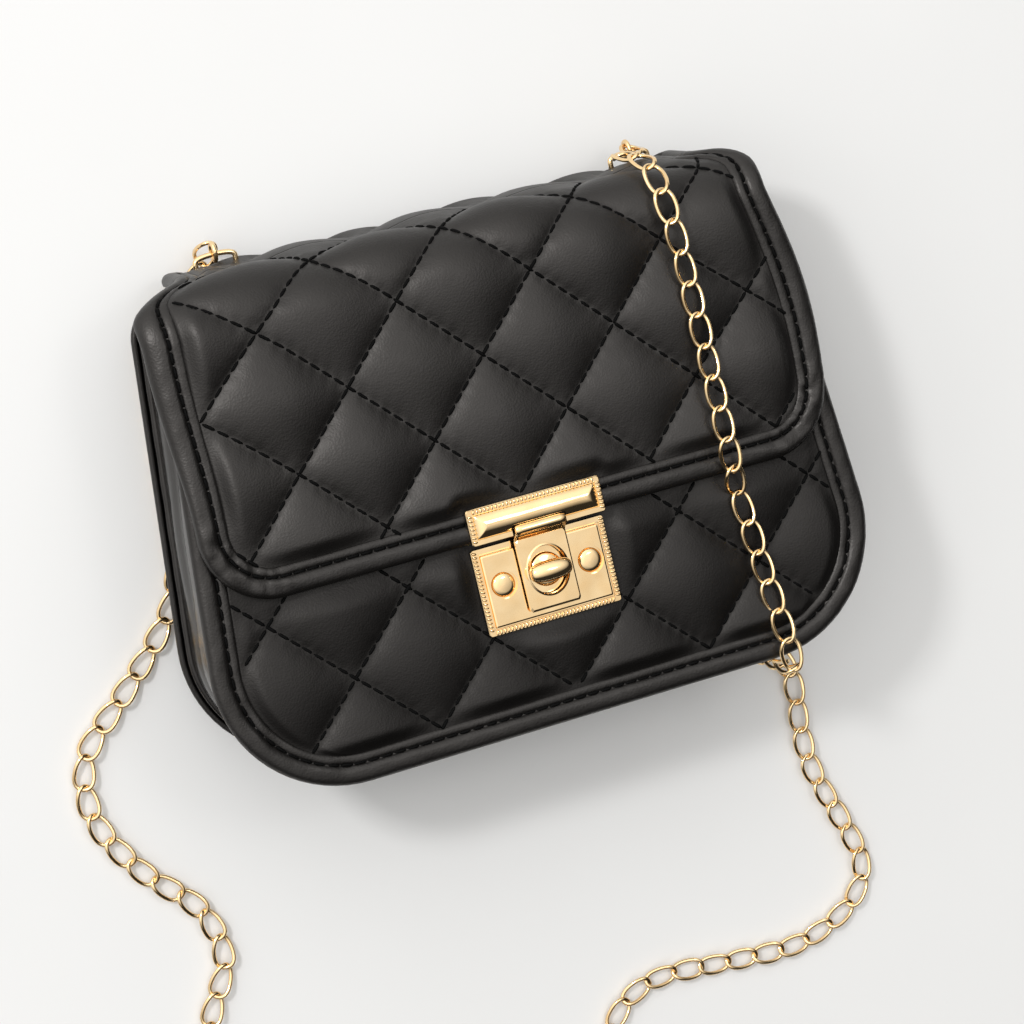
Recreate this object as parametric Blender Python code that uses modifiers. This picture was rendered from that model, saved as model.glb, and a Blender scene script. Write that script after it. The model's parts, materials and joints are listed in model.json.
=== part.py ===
"""Quilted crossbody purse with a turn lock and a chain strap, lying on its back.

Metres. +X runs to the right of the front face, +Y from the bottom of the bag to its top end,
and +Z up out of the front face. The origin is under the middle of the bag, on the surface it lies on.
The front slopes, because the bag is deeper at its bottom than at its top end. Places on the front
are given as (x, u, h): u runs up the slope like Y, and h is the height above the front panel.
"""

import math

import bmesh
import bpy
from mathutils import Matrix, Vector

# Driving dimensions
BOTTOM_Y = -0.0770
BACK_TOP_Y = 0.0660
FRONT_TOP_Y = 0.0580
FLAP_END_Y = 0.0719          # outer face of the flap where it passes the top end
WIDEST_HALF = 0.102
TOP_HALF = 0.094
BOTTOM_CORNER = 0.038
TOP_CORNER = 0.012
FRONT_TOP_CORNER = 0.010
FRONT_Z_AT_TOP = 0.046
FRONT_Z_AT_BOTTOM = 0.058
GAP = 0.0003

# Layers
LEATHER = 0.0025
PANEL = 0.0020
BACK_THICK = 0.0030
FOAM = 0.0020
LINING = 0.0008
GUSSET_THICK = 0.0016
BORDER_THICK = 0.0034
BORDER_WIDE = 0.0055
BACK_BORDER_WIDE = 0.0044
PIPING_RADIUS = 0.0012
INNER_INSET = 0.0088          # edge of the layers inside the gusset lining

# The back is flat in the middle and rolls up to its edges
EDGE_LIFT = 0.009
EDGE_ROLL = 0.030

# Flap
FLAP_HEIGHT = 0.0041         # outer face of the flap above the front panel
FLAP_THICK = 0.0036
FLAP_BORDER = 0.006
FLAP_CORNER = 0.0208
FLAP_CORNER_X = 0.0757
FLAP_CORNER_U = 0.002
FLAP_TOP_HALF = 0.0915
BEND_RADIUS = 0.016
BACK_FOLD_Z = 0.018          # height of the fold where the flap leaves the back

# Lock
LOCK_HALF = 0.0206
FLAP_PLATE_U = (-0.0195, -0.0088)
BASE_PLATE_U = (-0.0467, -0.0208)
PLATE_THICK = 0.0014
PLATE_CORNER = 0.0015
BACKING_THICK = 0.0012
BASE_BACKING = (0.016, -0.043, -0.023, 0.002)
FLAP_BACKING_HALF = 0.017
FLAP_BACKING_HIGH = -0.0050
KNOB_U = -0.0315
RIVET_PLACES = {"left": (-0.0132, -0.0327), "right": (0.0138, -0.0327)}
RIVET_RADIUS = 0.0037
RIVET_HEAD = 0.0005
RIVET_RECESS = 0.0008
COLLAR_RADIUS = 0.0036
COLLAR_HEIGHT = 0.0010
WASHER_RADIUS = 0.0045
WASHER_DROP = 0.0009         # from the underside of the backing plate to the washer's lower face
CLIP_RADIUS = 0.0032
CLIP_DROP = 0.0009           # from the washer's lower face to the clip's
SPINDLE_DROP = 0.0016        # from the washer's lower face to the spindle's end
KNOB_HALF = (0.0058, 0.0028, 0.0024)
EYELET_HALF = (0.0060, 0.0070)
HASP_HALF = 0.0078
HASP_END_U = -0.0425
HASP_THICK = 0.0012
HASP_ROLL_U = -0.0179
HASP_ROLL_RADIUS = 0.0014
HASP_FLAT_U = -0.0238         # where the tab leaves the base plate and slopes up to its roll
HASP_SLOPE = [(-0.0215, 0.0006), (-0.0201, 0.0020)]
PRONG_PLACES = {"left": (-0.013, -0.0108), "right": (0.013, -0.0108)}
PRONG_RADIUS = 0.0007
SHAFT_RADIUS = 0.0012
SPINDLE_RADIUS = 0.0017

# Strap hardware and chain
ANCHOR_X = 0.065
BRIDGE_RADIUS = 0.0008
BRIDGE_HALF = 0.006
BRIDGE_OUT = 0.0030
BRIDGE_Z = 0.0136
BRIDGE_START = 0.0008        # how far out the bridge begins to bend
RING_RADIUS = 0.0026
RING_WIRE = 0.0007
RING_OUT = 0.0036
RING_DROP = 0.0004
CHAIN_RADIUS = 0.002
CHAIN_LIFT = 0.0026          # centre of the chain above what it lies on
FLOOR_Z = 0.00205            # centre of the chain on the floor

FRONT_ANGLE = math.atan2(FRONT_Z_AT_BOTTOM - FRONT_Z_AT_TOP, FLAP_END_Y - BOTTOM_Y)
FRONT_Z_AT_ORIGIN = FRONT_Z_AT_TOP + FLAP_END_Y * math.tan(FRONT_ANGLE)
FRONT = Matrix.Translation((0, 0, FRONT_Z_AT_ORIGIN)) @ Matrix.Rotation(-FRONT_ANGLE, 4, "X")

# Centre of the flap's front bend, in (u, h) of the front, so that its outer face meets both planes
BEND_U = (FLAP_END_Y - BEND_RADIUS) / math.cos(FRONT_ANGLE) - (
    (FLAP_HEIGHT - BEND_RADIUS) * math.tan(FRONT_ANGLE)
)
BEND_ANGLE = math.pi / 2 - FRONT_ANGLE
BEND_LENGTH = BEND_ANGLE * BEND_RADIUS
BEND_CENTRE = FRONT @ Vector((0, BEND_U, FLAP_HEIGHT - BEND_RADIUS))
SPLIT_S = BEND_U + BEND_LENGTH / 2
STRIP_LENGTH = BEND_CENTRE.z - BACK_FOLD_Z
END_S = BEND_U + BEND_LENGTH + STRIP_LENGTH

BACK_CIRCLES = [
    (-(TOP_HALF - TOP_CORNER), BACK_TOP_Y - TOP_CORNER, TOP_CORNER),
    (-(WIDEST_HALF - BOTTOM_CORNER), BOTTOM_Y + BOTTOM_CORNER, BOTTOM_CORNER),
    (WIDEST_HALF - BOTTOM_CORNER, BOTTOM_Y + BOTTOM_CORNER, BOTTOM_CORNER),
    (TOP_HALF - TOP_CORNER, BACK_TOP_Y - TOP_CORNER, TOP_CORNER),
]
FRONT_CIRCLES = [
    (-(TOP_HALF - FRONT_TOP_CORNER), FRONT_TOP_Y - FRONT_TOP_CORNER, FRONT_TOP_CORNER),
    *BACK_CIRCLES[1:3],
    (TOP_HALF - FRONT_TOP_CORNER, FRONT_TOP_Y - FRONT_TOP_CORNER, FRONT_TOP_CORNER),
]
ARC_STEPS = 7
SMALLEST_CORNER = 0.0008

# The chain's route. Over the flap and the front: (x, u). On the floor and past the edges: (x, y, z).
ROUTE_TOP = [(0.0640, 0.088), (0.0620, 0.080), (0.0595, 0.072)]
ROUTE_FLAP = [(0.0585, 0.061), (0.0595, 0.048), (0.0600, 0.030), (0.0603, 0.010), (0.0605, -0.0165)]
ROUTE_FRONT = [(0.062, -0.0225), (0.0631, -0.033), (0.0643, -0.046), (0.0657, -0.059), (0.067, -0.070)]
ROUTE_DROP = [
    (0.0673, -0.0765, 0.0610),
    (0.0676, -0.0802, 0.0592),
    (0.0677, -0.0812, 0.0540),
    (0.0678, -0.0812, 0.0300),
    (0.0680, -0.0816, 0.0110),
    (0.0690, -0.0830, 0.0050),
    (0.0722, -0.0852, 0.0024),
    (0.0780, -0.0875, FLOOR_Z),
]
ROUTE_FLOOR = [
    (0.0793, -0.0881, FLOOR_Z),
    (0.0835, -0.0900, FLOOR_Z),
    (0.0888, -0.1000, FLOOR_Z),
    (0.0883, -0.1190, FLOOR_Z),
    (0.0898, -0.1333, FLOOR_Z),
    (0.0961, -0.1514, FLOOR_Z),
    (0.1003, -0.1680, FLOOR_Z),
    (0.0930, -0.1800, FLOOR_Z),
    (0.0740, -0.1872, FLOOR_Z),
    (0.0510, -0.1858, FLOOR_Z),
    (0.0240, -0.1832, FLOOR_Z),
    (0.0092, -0.1903, FLOOR_Z),
    (0.0025, -0.2060, FLOOR_Z),
    (0.0060, -0.2300, FLOOR_Z),
    (0.0045, -0.2560, FLOOR_Z),
    (-0.0160, -0.2780, FLOOR_Z),
    (-0.0500, -0.2850, FLOOR_Z),
    (-0.0860, -0.2780, FLOOR_Z),
    (-0.1130, -0.2550, FLOOR_Z),
    (-0.1240, -0.2200, FLOOR_Z),
    (-0.1230, -0.1840, FLOOR_Z),
    (-0.1169, -0.1515, FLOOR_Z),
    (-0.1082, -0.1340, FLOOR_Z),
    (-0.1120, -0.1160, FLOOR_Z),
    (-0.1260, -0.1000, FLOOR_Z),
    (-0.1362, -0.0800, FLOOR_Z),
    (-0.1340, -0.0610, FLOOR_Z),
    (-0.1200, -0.0470, FLOOR_Z),
    (-0.1060, -0.0330, FLOOR_Z),
    (-0.0972, -0.0205, FLOOR_Z),
    (-0.0936, -0.0060, FLOOR_Z),
    (-0.0924, 0.0110, FLOOR_Z),
    (-0.0906, 0.0290, FLOOR_Z),
    (-0.0883, 0.0460, FLOOR_Z),
    (-0.0850, 0.0570, FLOOR_Z),
    (-0.0780, 0.0605, FLOOR_Z),
    (-0.0715, 0.0645, FLOOR_Z),
    (-0.0675, 0.0710, 0.0029),
    (-0.0655, 0.0770, 0.0048),
]
CHAIN_POINTS = {"chain_top_right": 7, "chain_over_flap": 8, "chain_front_drop": 22, "chain_loop": 54}

COLOURS = {
    "black_leather": ((0.010, 0.010, 0.011, 1), 0.38, 0.0),
    "black_gloss": ((0.016, 0.016, 0.017, 1), 0.22, 0.0),
    "lining": ((0.030, 0.028, 0.027, 1), 0.85, 0.0),
    "foam": ((0.60, 0.58, 0.52, 1), 0.9, 0.0),
    "board": ((0.20, 0.15, 0.10, 1), 0.8, 0.0),
    "gold": ((0.80, 0.62, 0.36, 1), 0.22, 1.0),
    "steel": ((0.55, 0.55, 0.55, 1), 0.35, 1.0),
}


# ---------------------------------------------------------------- scene helpers


def clear_scene():
    for obj in list(bpy.data.objects):
        bpy.data.objects.remove(obj, do_unlink=True)


def new_collection(name):
    collection = bpy.data.collections.new(name)
    bpy.context.scene.collection.children.link(collection)
    return collection


def new_material(name, finish):
    colour, roughness, metallic = COLOURS[finish]
    material = bpy.data.materials.new(name)
    material.use_nodes = True
    shader = material.node_tree.nodes["Principled BSDF"]
    shader.inputs["Base Color"].default_value = colour
    shader.inputs["Roughness"].default_value = roughness
    shader.inputs["Metallic"].default_value = metallic
    material.diffuse_color = colour
    return material


def new_empty(name, place, parent=None):
    empty = bpy.data.objects.new(name, None)
    PARTS.objects.link(empty)
    empty.matrix_world = place
    if parent:
        empty.parent = parent
        empty.matrix_parent_inverse = parent.matrix_world.inverted()
    bpy.context.view_layer.update()
    return empty


def add_part(name, data, finish, pivot, place=Matrix.Identity(4)):
    """Links a part whose mesh is in the coordinates of place, and hangs it on the pivot empty."""
    obj = bpy.data.objects.new(name, data)
    obj.data.materials.append(new_material(name, finish))
    PARTS.objects.link(obj)
    obj.parent = pivot
    obj.matrix_parent_inverse = pivot.matrix_world.inverted()
    obj.matrix_world = place
    return obj


def mesh_from(bm, name):
    mesh = bpy.data.meshes.new(name)
    bm.to_mesh(mesh)
    bm.free()
    return mesh


# ---------------------------------------------------------------- outlines


def inset_circle(circle, inset):
    """The corner circle of the outline drawn this far inside."""
    x, y, radius = circle
    smaller = max(radius - inset, SMALLEST_CORNER)
    shift = smaller - (radius - inset)
    return x - math.copysign(shift, x), y - math.copysign(shift, y), smaller


def edge_normal(a, b):
    """Outward direction of the straight edge that touches circle a and then circle b."""
    along = Vector((b[0] - a[0], b[1] - a[1]))
    lean = math.asin((a[2] - b[2]) / along.length)
    along.normalize()
    outward = Vector((along.y, -along.x))
    return outward * math.cos(lean) + along * math.sin(lean)


def outline(circles, inset=0.0, steps=ARC_STEPS):
    """Points round the shape that wraps the circles, anticlockwise, starting on the first circle."""
    inner = [inset_circle(circle, inset) for circle in circles]
    points = []
    for index, (x, y, radius) in enumerate(inner):
        before = edge_normal(inner[index - 1], inner[index])
        after = edge_normal(inner[index], inner[(index + 1) % len(inner)])
        start = math.atan2(before.y, before.x)
        turn = (math.atan2(after.y, after.x) - start) % (2 * math.pi)
        for step in range(steps + 1):
            angle = start + turn * step / steps
            points.append(Vector((x + radius * math.cos(angle), y + radius * math.sin(angle))))
    return points


def u_shape(points):
    """The stretch of an outline down the left side, along the bottom and up the right side."""
    return points[ARC_STEPS:-ARC_STEPS]


def lift(inset):
    """Height of the back's outer face this far inside the outline."""
    return EDGE_LIFT * max(0.0, 1 - inset / EDGE_ROLL) ** 2


# ---------------------------------------------------------------- solids


def shell(name, rows, thickness, toward, finish, pivot, place=Matrix.Identity(4), closed=False, cap=False):
    """A sheet through rows of points, thickened in the direction toward."""
    bm = bmesh.new()
    grid = [[bm.verts.new(point) for point in row] for row in rows]
    count = len(grid[0])
    for low, high in zip(grid, grid[1:]):
        for i in range(count if closed else count - 1):
            j = (i + 1) % count
            bm.faces.new((low[i], low[j], high[j], high[i]))
    if cap:
        bm.faces.new(list(reversed(grid[-1])) if len(grid) == 1 else grid[-1])
    bmesh.ops.recalc_face_normals(bm, faces=bm.faces)
    bm.faces.ensure_lookup_table()
    bm.normal_update()
    if bm.faces[0].normal.dot(Vector(toward)) < 0:
        bmesh.ops.reverse_faces(bm, faces=bm.faces)
    part = add_part(name, mesh_from(bm, name), finish, pivot, place)
    solidify = part.modifiers.new("thickness", "SOLIDIFY")
    solidify.thickness = thickness
    solidify.offset = 1
    solidify.use_even_offset = True
    return part


def at_height(points, height):
    return [Vector((p.x, p.y, height)) for p in points]


def slab(name, points, low, high, finish, pivot, place=Matrix.Identity(4)):
    """A flat piece with this outline between two heights."""
    rows = [at_height(points, low)]
    return shell(name, rows, high - low, (0, 0, 1), finish, pivot, place, cap=True)


def band(name, outer, inner, low, high, finish, pivot, place=Matrix.Identity(4), closed=True):
    """A flat band between two outlines that have the same number of points."""
    rows = [at_height(outer, low), at_height(inner, low)]
    return shell(name, rows, high - low, (0, 0, 1), finish, pivot, place, closed=closed)


def rectangle(half_x, low_y, high_y, corner, steps=2):
    circles = [
        (-half_x + corner, high_y - corner, corner),
        (-half_x + corner, low_y + corner, corner),
        (half_x - corner, low_y + corner, corner),
        (half_x - corner, high_y - corner, corner),
    ]
    return outline(circles, 0.0, steps)


def tube(name, points, radius, finish, pivot, closed=False, place=Matrix.Identity(4), sides=2):
    curve = bpy.data.curves.new(name, "CURVE")
    curve.dimensions = "3D"
    curve.bevel_depth = radius
    curve.bevel_resolution = sides
    curve.use_fill_caps = not closed
    spline = curve.splines.new("POLY")
    spline.points.add(len(points) - 1)
    for target, point in zip(spline.points, points):
        target.co = (*point, 1)
    spline.use_cyclic_u = closed
    return add_part(name, curve, finish, pivot, place)


def turned(bm, profile, centre, segments=20):
    """Adds a solid of revolution about the local Z axis through centre, as a loft of circles."""
    rings = []
    for radius, height in profile:
        ring = []
        for step in range(segments):
            angle = 2 * math.pi * step / segments
            place = (centre[0] + radius * math.cos(angle), centre[1] + radius * math.sin(angle), height)
            ring.append(bm.verts.new(place))
        rings.append(ring)
    for low, high in zip(rings, rings[1:]):
        for i in range(segments):
            j = (i + 1) % segments
            bm.faces.new((low[i], low[j], high[j], high[i]))
    bm.faces.new(rings[0])
    bm.faces.new(rings[-1])
    bmesh.ops.recalc_face_normals(bm, faces=bm.faces)


def turned_part(name, profile, centre, finish, pivot, place=Matrix.Identity(4)):
    bm = bmesh.new()
    turned(bm, profile, centre)
    return add_part(name, mesh_from(bm, name), finish, pivot, place)


def drill(parts, cutter_name, build_cutter, place):
    """Cuts one hidden solid out of several parts."""
    bm = bmesh.new()
    build_cutter(bm)
    cutter = bpy.data.objects.new(cutter_name, mesh_from(bm, cutter_name))
    CUTTERS.objects.link(cutter)
    cutter.matrix_world = place
    cutter.hide_render = True
    cutter.display_type = "WIRE"
    for part in parts:
        cut = part.modifiers.new(cutter_name, "BOOLEAN")
        cut.operation = "DIFFERENCE"
        cut.object = cutter


def round_hole(centre, radius, low, high):
    def build(bm):
        turned(bm, [(radius, low), (radius, high)], centre, 16)

    return build


# ---------------------------------------------------------------- body


def body_panels(root, front):
    panel_insets = [BACK_BORDER_WIDE + GAP, 0.008, 0.012, 0.017, 0.023, EDGE_ROLL]
    rings = [at_height(outline(BACK_CIRCLES, d), lift(d)) for d in panel_insets]
    shell("back_panel", rings, BACK_THICK, (0, 0, 1), "black_leather", root, closed=True, cap=True)
    lining_insets = [INNER_INSET, 0.012, 0.017, 0.023, EDGE_ROLL]
    rings = [at_height(outline(BACK_CIRCLES, d), lift(d) + 0.0035) for d in lining_insets]
    shell("back_lining", rings, LINING, (0, 0, 1), "lining", root, closed=True, cap=True)
    rings = [at_height(outline(BACK_CIRCLES, d), lift(d)) for d in (0, 0.0022, BACK_BORDER_WIDE)]
    shell("back_border", rings, BORDER_THICK, (0, 0, 1), "black_leather", root, closed=True)
    low = 0.0035 + LINING + 2 * GAP
    slab("inner_pocket", rectangle(0.050, -0.038, 0.028, 0.006), low, low + LINING, "lining", root)
    edge = outline(FRONT_CIRCLES, BORDER_WIDE + GAP)
    panel = slab("front_panel", edge, -PANEL, 0, "black_leather", front, FRONT)
    inside = outline(FRONT_CIRCLES, INNER_INSET)
    low = -PANEL - GAP - FOAM
    foam = slab("front_foam", inside, low, low + FOAM, "foam", front, FRONT)
    low -= GAP + LINING
    lining = slab("front_lining", inside, low, low + LINING, "lining", front, FRONT)
    edge = outline(FRONT_CIRCLES)
    inner = outline(FRONT_CIRCLES, BORDER_WIDE)
    band("front_border", edge, inner, 0.0002 - BORDER_THICK, 0.0002, "black_leather", front, FRONT)
    return panel, foam, lining, low


def gusset_row(inset, share, low_z, high_h):
    """A U-shaped row between the back (share 0) and the front (share 1)."""
    back = at_height(u_shape(outline(BACK_CIRCLES, inset)), low_z)
    front = [FRONT @ point for point in at_height(u_shape(outline(FRONT_CIRCLES, inset)), high_h)]
    return [a.lerp(b, share) for a, b in zip(back, front)]


def body_gusset(root, front):
    low_z, high_h = 0.0104, -0.0036
    sink = 0.0022
    for name, start, thick, finish in (
        ("gusset", 0.0047, GUSSET_THICK, "black_gloss"),
        ("gusset_lining", 0.0047 + GUSSET_THICK + GAP, LINING, "lining"),
    ):
        rows = [
            gusset_row(start + sink * (4 * share * (1 - share)), share, low_z, high_h)
            for share in (0, 0.15, 0.5, 0.85, 1)
        ]
        shell(name, rows, thick, (1, 0, 0), finish, root)
    route = at_height(u_shape(outline(FRONT_CIRCLES, 0.0032)), 0.0002 - BORDER_THICK - GAP - PIPING_RADIUS)
    tube("front_piping", route, PIPING_RADIUS, "black_gloss", front, place=FRONT)
    route = at_height(u_shape(outline(BACK_CIRCLES, 0.0032)), 0.0128)
    tube("back_piping", route, PIPING_RADIUS, "black_gloss", root)
    board = rectangle(0.056, 0.018, 0.046, 0.003)
    upright = Matrix.Translation((0, BOTTOM_Y + 0.0118, 0)) @ Matrix.Rotation(math.pi / 2, 4, "X")
    slab("bottom_board", board, 0, 0.0015, "board", root, upright)


# ---------------------------------------------------------------- flap


def flap_point(x, s, h=0.0):
    """Where a place on the flap's flat pattern is when the flap is closed: s runs from the hem up the
    front, round the bend and down the top end, and h is the height outside the outer face."""
    if s <= BEND_U:
        return FRONT @ Vector((x, s, FLAP_HEIGHT + h))
    angle = min((s - BEND_U) / BEND_RADIUS, BEND_ANGLE)
    turn = FRONT_ANGLE + angle
    outward = Vector((0, math.sin(turn), math.cos(turn)))
    place = BEND_CENTRE + Vector((x, 0, 0)) + outward * (BEND_RADIUS + h)
    below = max(0.0, s - BEND_U - BEND_LENGTH)
    return place - Vector((0, 0, below))


def flap_half(s, inset=0.0):
    """Half the width of the flap's pattern at s."""
    if s < FLAP_CORNER_U:
        radius = FLAP_CORNER - inset
        return FLAP_CORNER_X + math.sqrt(max(0.0, radius**2 - (FLAP_CORNER_U - s) ** 2))
    share = min(1.0, (s - FLAP_CORNER_U) / (BEND_U - FLAP_CORNER_U))
    widest = FLAP_CORNER_X + FLAP_CORNER
    return widest + (FLAP_TOP_HALF - widest) * share - inset


def corner_s(inset, steps=7):
    """Places along the flap's rounded corners, from the hem up."""
    radius = FLAP_CORNER - inset
    angles = [math.pi / 2 * step / steps for step in range(steps)]
    return [FLAP_CORNER_U - radius * math.cos(angle) for angle in angles]


def bend_s(start, end, steps=4):
    return [start + (end - start) * step / steps for step in range(steps + 1)]


def flap_layer(name, stations, inset, low, thick, finish, pivot):
    rows = [[flap_point(side * flap_half(s, inset), s, low) for side in (-1, 1)] for s in stations]
    toward = flap_point(0, stations[0], 1) - flap_point(0, stations[0], 0)
    return shell(name, rows, thick, toward, finish, pivot)


def edge_stations(top):
    """The border's route down the left side, round the hem and up the right side, as (side, s, angle)."""
    down = list(reversed(bend_s(BEND_U, top))) + [FLAP_CORNER_U]
    steps = 7
    left = [(-1, s, 0.0) for s in down]
    left += [(-1, None, math.pi / 2 * step / steps) for step in range(1, steps + 1)]
    return left + [(1, s, angle) for side, s, angle in reversed(left)]


def border_row(station, low):
    side, s, angle = station
    row = []
    for inset in (0.0, FLAP_BORDER):
        if s is None:
            radius = FLAP_CORNER - inset
            x = FLAP_CORNER_X + radius * math.cos(angle)
            row.append(flap_point(side * x, FLAP_CORNER_U - radius * math.sin(angle), low))
        else:
            row.append(flap_point(side * flap_half(s, inset), s, low))
    return row


def flap_pieces(flap, flap_top, root):
    inset = FLAP_BORDER + GAP
    top = SPLIT_S - GAP / 2
    stations = corner_s(inset) + [FLAP_CORNER_U] + bend_s(BEND_U, top)
    leather = flap_layer("flap_leather", stations, inset, -LEATHER, LEATHER, "black_leather", flap)
    lining = flap_layer("flap_lining", stations, inset, -FLAP_THICK, LINING, "lining", flap)
    rows = [border_row(station, -FLAP_THICK) for station in edge_stations(top)]
    shell("flap_border", rows, FLAP_THICK + 0.0003, FRONT.col[2].xyz, "black_leather", flap)
    low = SPLIT_S + GAP / 2
    stations = bend_s(low, BEND_U + BEND_LENGTH) + [END_S - GAP / 2]
    flap_layer("flap_top_leather", stations, inset, -LEATHER, LEATHER, "black_leather", flap_top)
    flap_layer("flap_top_lining", stations, inset, -FLAP_THICK, LINING, "lining", flap_top)
    for side, name in ((-1, "flap_top_border_left"), (1, "flap_top_border_right")):
        rows = [
            [flap_point(side * flap_half(s, d), s, -FLAP_THICK) for d in (0, FLAP_BORDER)] for s in stations
        ]
        toward = flap_point(0, stations[0], 1) - flap_point(0, stations[0], 0)
        shell(name, rows, FLAP_THICK + 0.0003, toward, "black_leather", flap_top)
    return leather, lining


def flap_tail(root):
    """The fixed end of the flap, from the back panel up to the back fold."""
    profile = [(0.0667, 0.0062), (0.0695, 0.0068), (0.0713, 0.0086), (FLAP_END_Y, 0.0108)]
    profile.append((FLAP_END_Y, BACK_FOLD_Z - GAP))
    rows = [[Vector((side * (FLAP_TOP_HALF - 0.0005), y, z)) for side in (-1, 1)] for y, z in profile]
    return shell("flap_tail", rows, LEATHER, (0, 0, 1), "black_leather", root)


# ---------------------------------------------------------------- lock


def lock_body_side(front, layers, lining_low):
    """The base plate, the plate behind it, two rivets and the knob's seat and washer."""
    plate_top = GAP + PLATE_THICK
    shape = rectangle(LOCK_HALF, *BASE_PLATE_U, PLATE_CORNER)
    plate = slab("lock_base_plate", shape, GAP, plate_top, "gold", front, FRONT)
    back_high = lining_low - GAP
    back_low = back_high - BACKING_THICK
    shape = rectangle(*BASE_BACKING)
    backing = slab("lock_backing_plate", shape, back_low, back_high, "steel", front, FRONT)
    head = plate_top + GAP
    for side, centre in RIVET_PLACES.items():
        rivet(side, centre, plate, [plate, backing, *layers], front, back_low)
    hole = round_hole((0, KNOB_U), SPINDLE_RADIUS + GAP, back_low - 0.002, head + 0.002)
    drill([plate, backing, *layers], "spindle_hole", hole, FRONT)
    profile = [(COLLAR_RADIUS, head), (COLLAR_RADIUS, head + 0.0006), (0.0030, head + COLLAR_HEIGHT)]
    collar = turned_part("knob_collar", profile, (0, KNOB_U), "gold", front, FRONT)
    washer_low = back_low - WASHER_DROP
    profile = [(WASHER_RADIUS, washer_low), (WASHER_RADIUS, back_low - GAP)]
    washer = turned_part("spring_washer", profile, (0, KNOB_U), "steel", front, FRONT)
    drill([collar, washer], "collar_hole", hole, FRONT)
    return washer_low, head + COLLAR_HEIGHT


def rivet(side, centre, plate, drilled, front, back_low):
    """A rivet whose head lies in a recess of the base plate and whose shaft passes all the layers."""
    plate_top = GAP + PLATE_THICK
    recess = plate_top - RIVET_RECESS
    seat = recess + GAP
    profile = [(SHAFT_RADIUS, back_low - 0.0004), (SHAFT_RADIUS, seat), (RIVET_RADIUS, seat)]
    profile += [(RIVET_RADIUS, seat + RIVET_HEAD - 0.0002), (RIVET_RADIUS - 0.0002, seat + RIVET_HEAD)]
    turned_part("lock_rivet_" + side, profile, centre, "gold", front, FRONT)
    above = plate_top + 0.002
    hole = round_hole(centre, SHAFT_RADIUS + GAP, back_low - 0.002, above)
    drill(drilled, "rivet_hole_" + side, hole, FRONT)
    drill([plate], "rivet_recess_" + side, round_hole(centre, RIVET_RADIUS + GAP, recess, above), FRONT)


def knob_pieces(knob, washer_low, collar_top):
    """The knob, its spindle through the lock, and the clip that holds it in."""
    bottom = washer_low - SPINDLE_DROP
    head = collar_top + GAP
    profile = [(SPINDLE_RADIUS, bottom), (SPINDLE_RADIUS, head - GAP)]
    turned_part("knob_spindle", profile, (0, KNOB_U), "steel", knob, FRONT)
    profile = [(CLIP_RADIUS, washer_low - CLIP_DROP), (CLIP_RADIUS, washer_low - GAP)]
    clip = turned_part("spindle_clip", profile, (0, KNOB_U), "steel", knob, FRONT)
    hole = round_hole((0, KNOB_U), SPINDLE_RADIUS + GAP, bottom - 0.001, head)
    drill([clip], "clip_hole", hole, FRONT)
    bm = bmesh.new()
    bmesh.ops.create_uvsphere(bm, u_segments=20, v_segments=10, radius=1)
    size = Matrix.Diagonal((*KNOB_HALF, 1))
    middle = Matrix.Translation((0, KNOB_U, head + KNOB_HALF[2]))
    bmesh.ops.transform(bm, matrix=middle @ size, verts=bm.verts)
    add_part("knob", mesh_from(bm, "knob"), "gold", knob, FRONT)


def ellipse(half_x, half_y, centre_y, steps=24):
    angles = [2 * math.pi * step / steps for step in range(steps)]
    return [Vector((half_x * math.cos(a), centre_y + half_y * math.sin(a))) for a in angles]


def prism(points, low, high):
    """A cutter with this outline between two heights."""

    def build(bm):
        rings = [[bm.verts.new((p.x, p.y, height)) for p in points] for height in (low, high)]
        for ring in rings:
            bm.faces.new(ring)
        for i in range(len(points)):
            j = (i + 1) % len(points)
            bm.faces.new((rings[0][i], rings[0][j], rings[1][j], rings[1][i]))
        bmesh.ops.recalc_face_normals(bm, faces=bm.faces)

    return build


def lock_flap_side(flap, leather, lining):
    """The flap's plate with its hasp, held by two prongs to a thin plate let into the lining."""
    low_u, high_u = FLAP_PLATE_U
    top = FLAP_HEIGHT + 0.0003 + GAP
    shape = rectangle(LOCK_HALF, low_u, high_u, PLATE_CORNER)
    flap_plate = slab("flap_plate", shape, top, top + PLATE_THICK, "gold", flap, FRONT)
    notch_top = HASP_ROLL_U + HASP_ROLL_RADIUS + GAP
    notch = rectangle(HASP_HALF + GAP, low_u - 0.002, notch_top, 0.001)
    drill([flap_plate], "hasp_notch", prism(notch, top - 0.001, top + 0.003), FRONT)
    hasp_pieces(flap, top)
    level = FLAP_HEIGHT - FLAP_THICK
    backing_low = FLAP_CORNER_U - FLAP_CORNER + FLAP_BORDER + 2 * GAP
    shape = rectangle(FLAP_BACKING_HALF, backing_low, FLAP_BACKING_HIGH, 0.001)
    backing = slab("flap_backing_plate", shape, level, level + LINING, "steel", flap, FRONT)
    opening = rectangle(FLAP_BACKING_HALF + GAP, low_u, FLAP_BACKING_HIGH + GAP, 0.001)
    drill([lining], "backing_opening", prism(opening, level - 0.001, level + LINING + GAP / 2), FRONT)
    for side, centre in PRONG_PLACES.items():
        profile = [(PRONG_RADIUS, level), (PRONG_RADIUS, top - GAP)]
        turned_part("flap_plate_prong_" + side, profile, centre, "steel", flap, FRONT)
        hole = round_hole(centre, PRONG_RADIUS + GAP, level - 0.001, top - GAP / 2)
        drill([backing, leather], "prong_hole_" + side, hole, FRONT)


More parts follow.
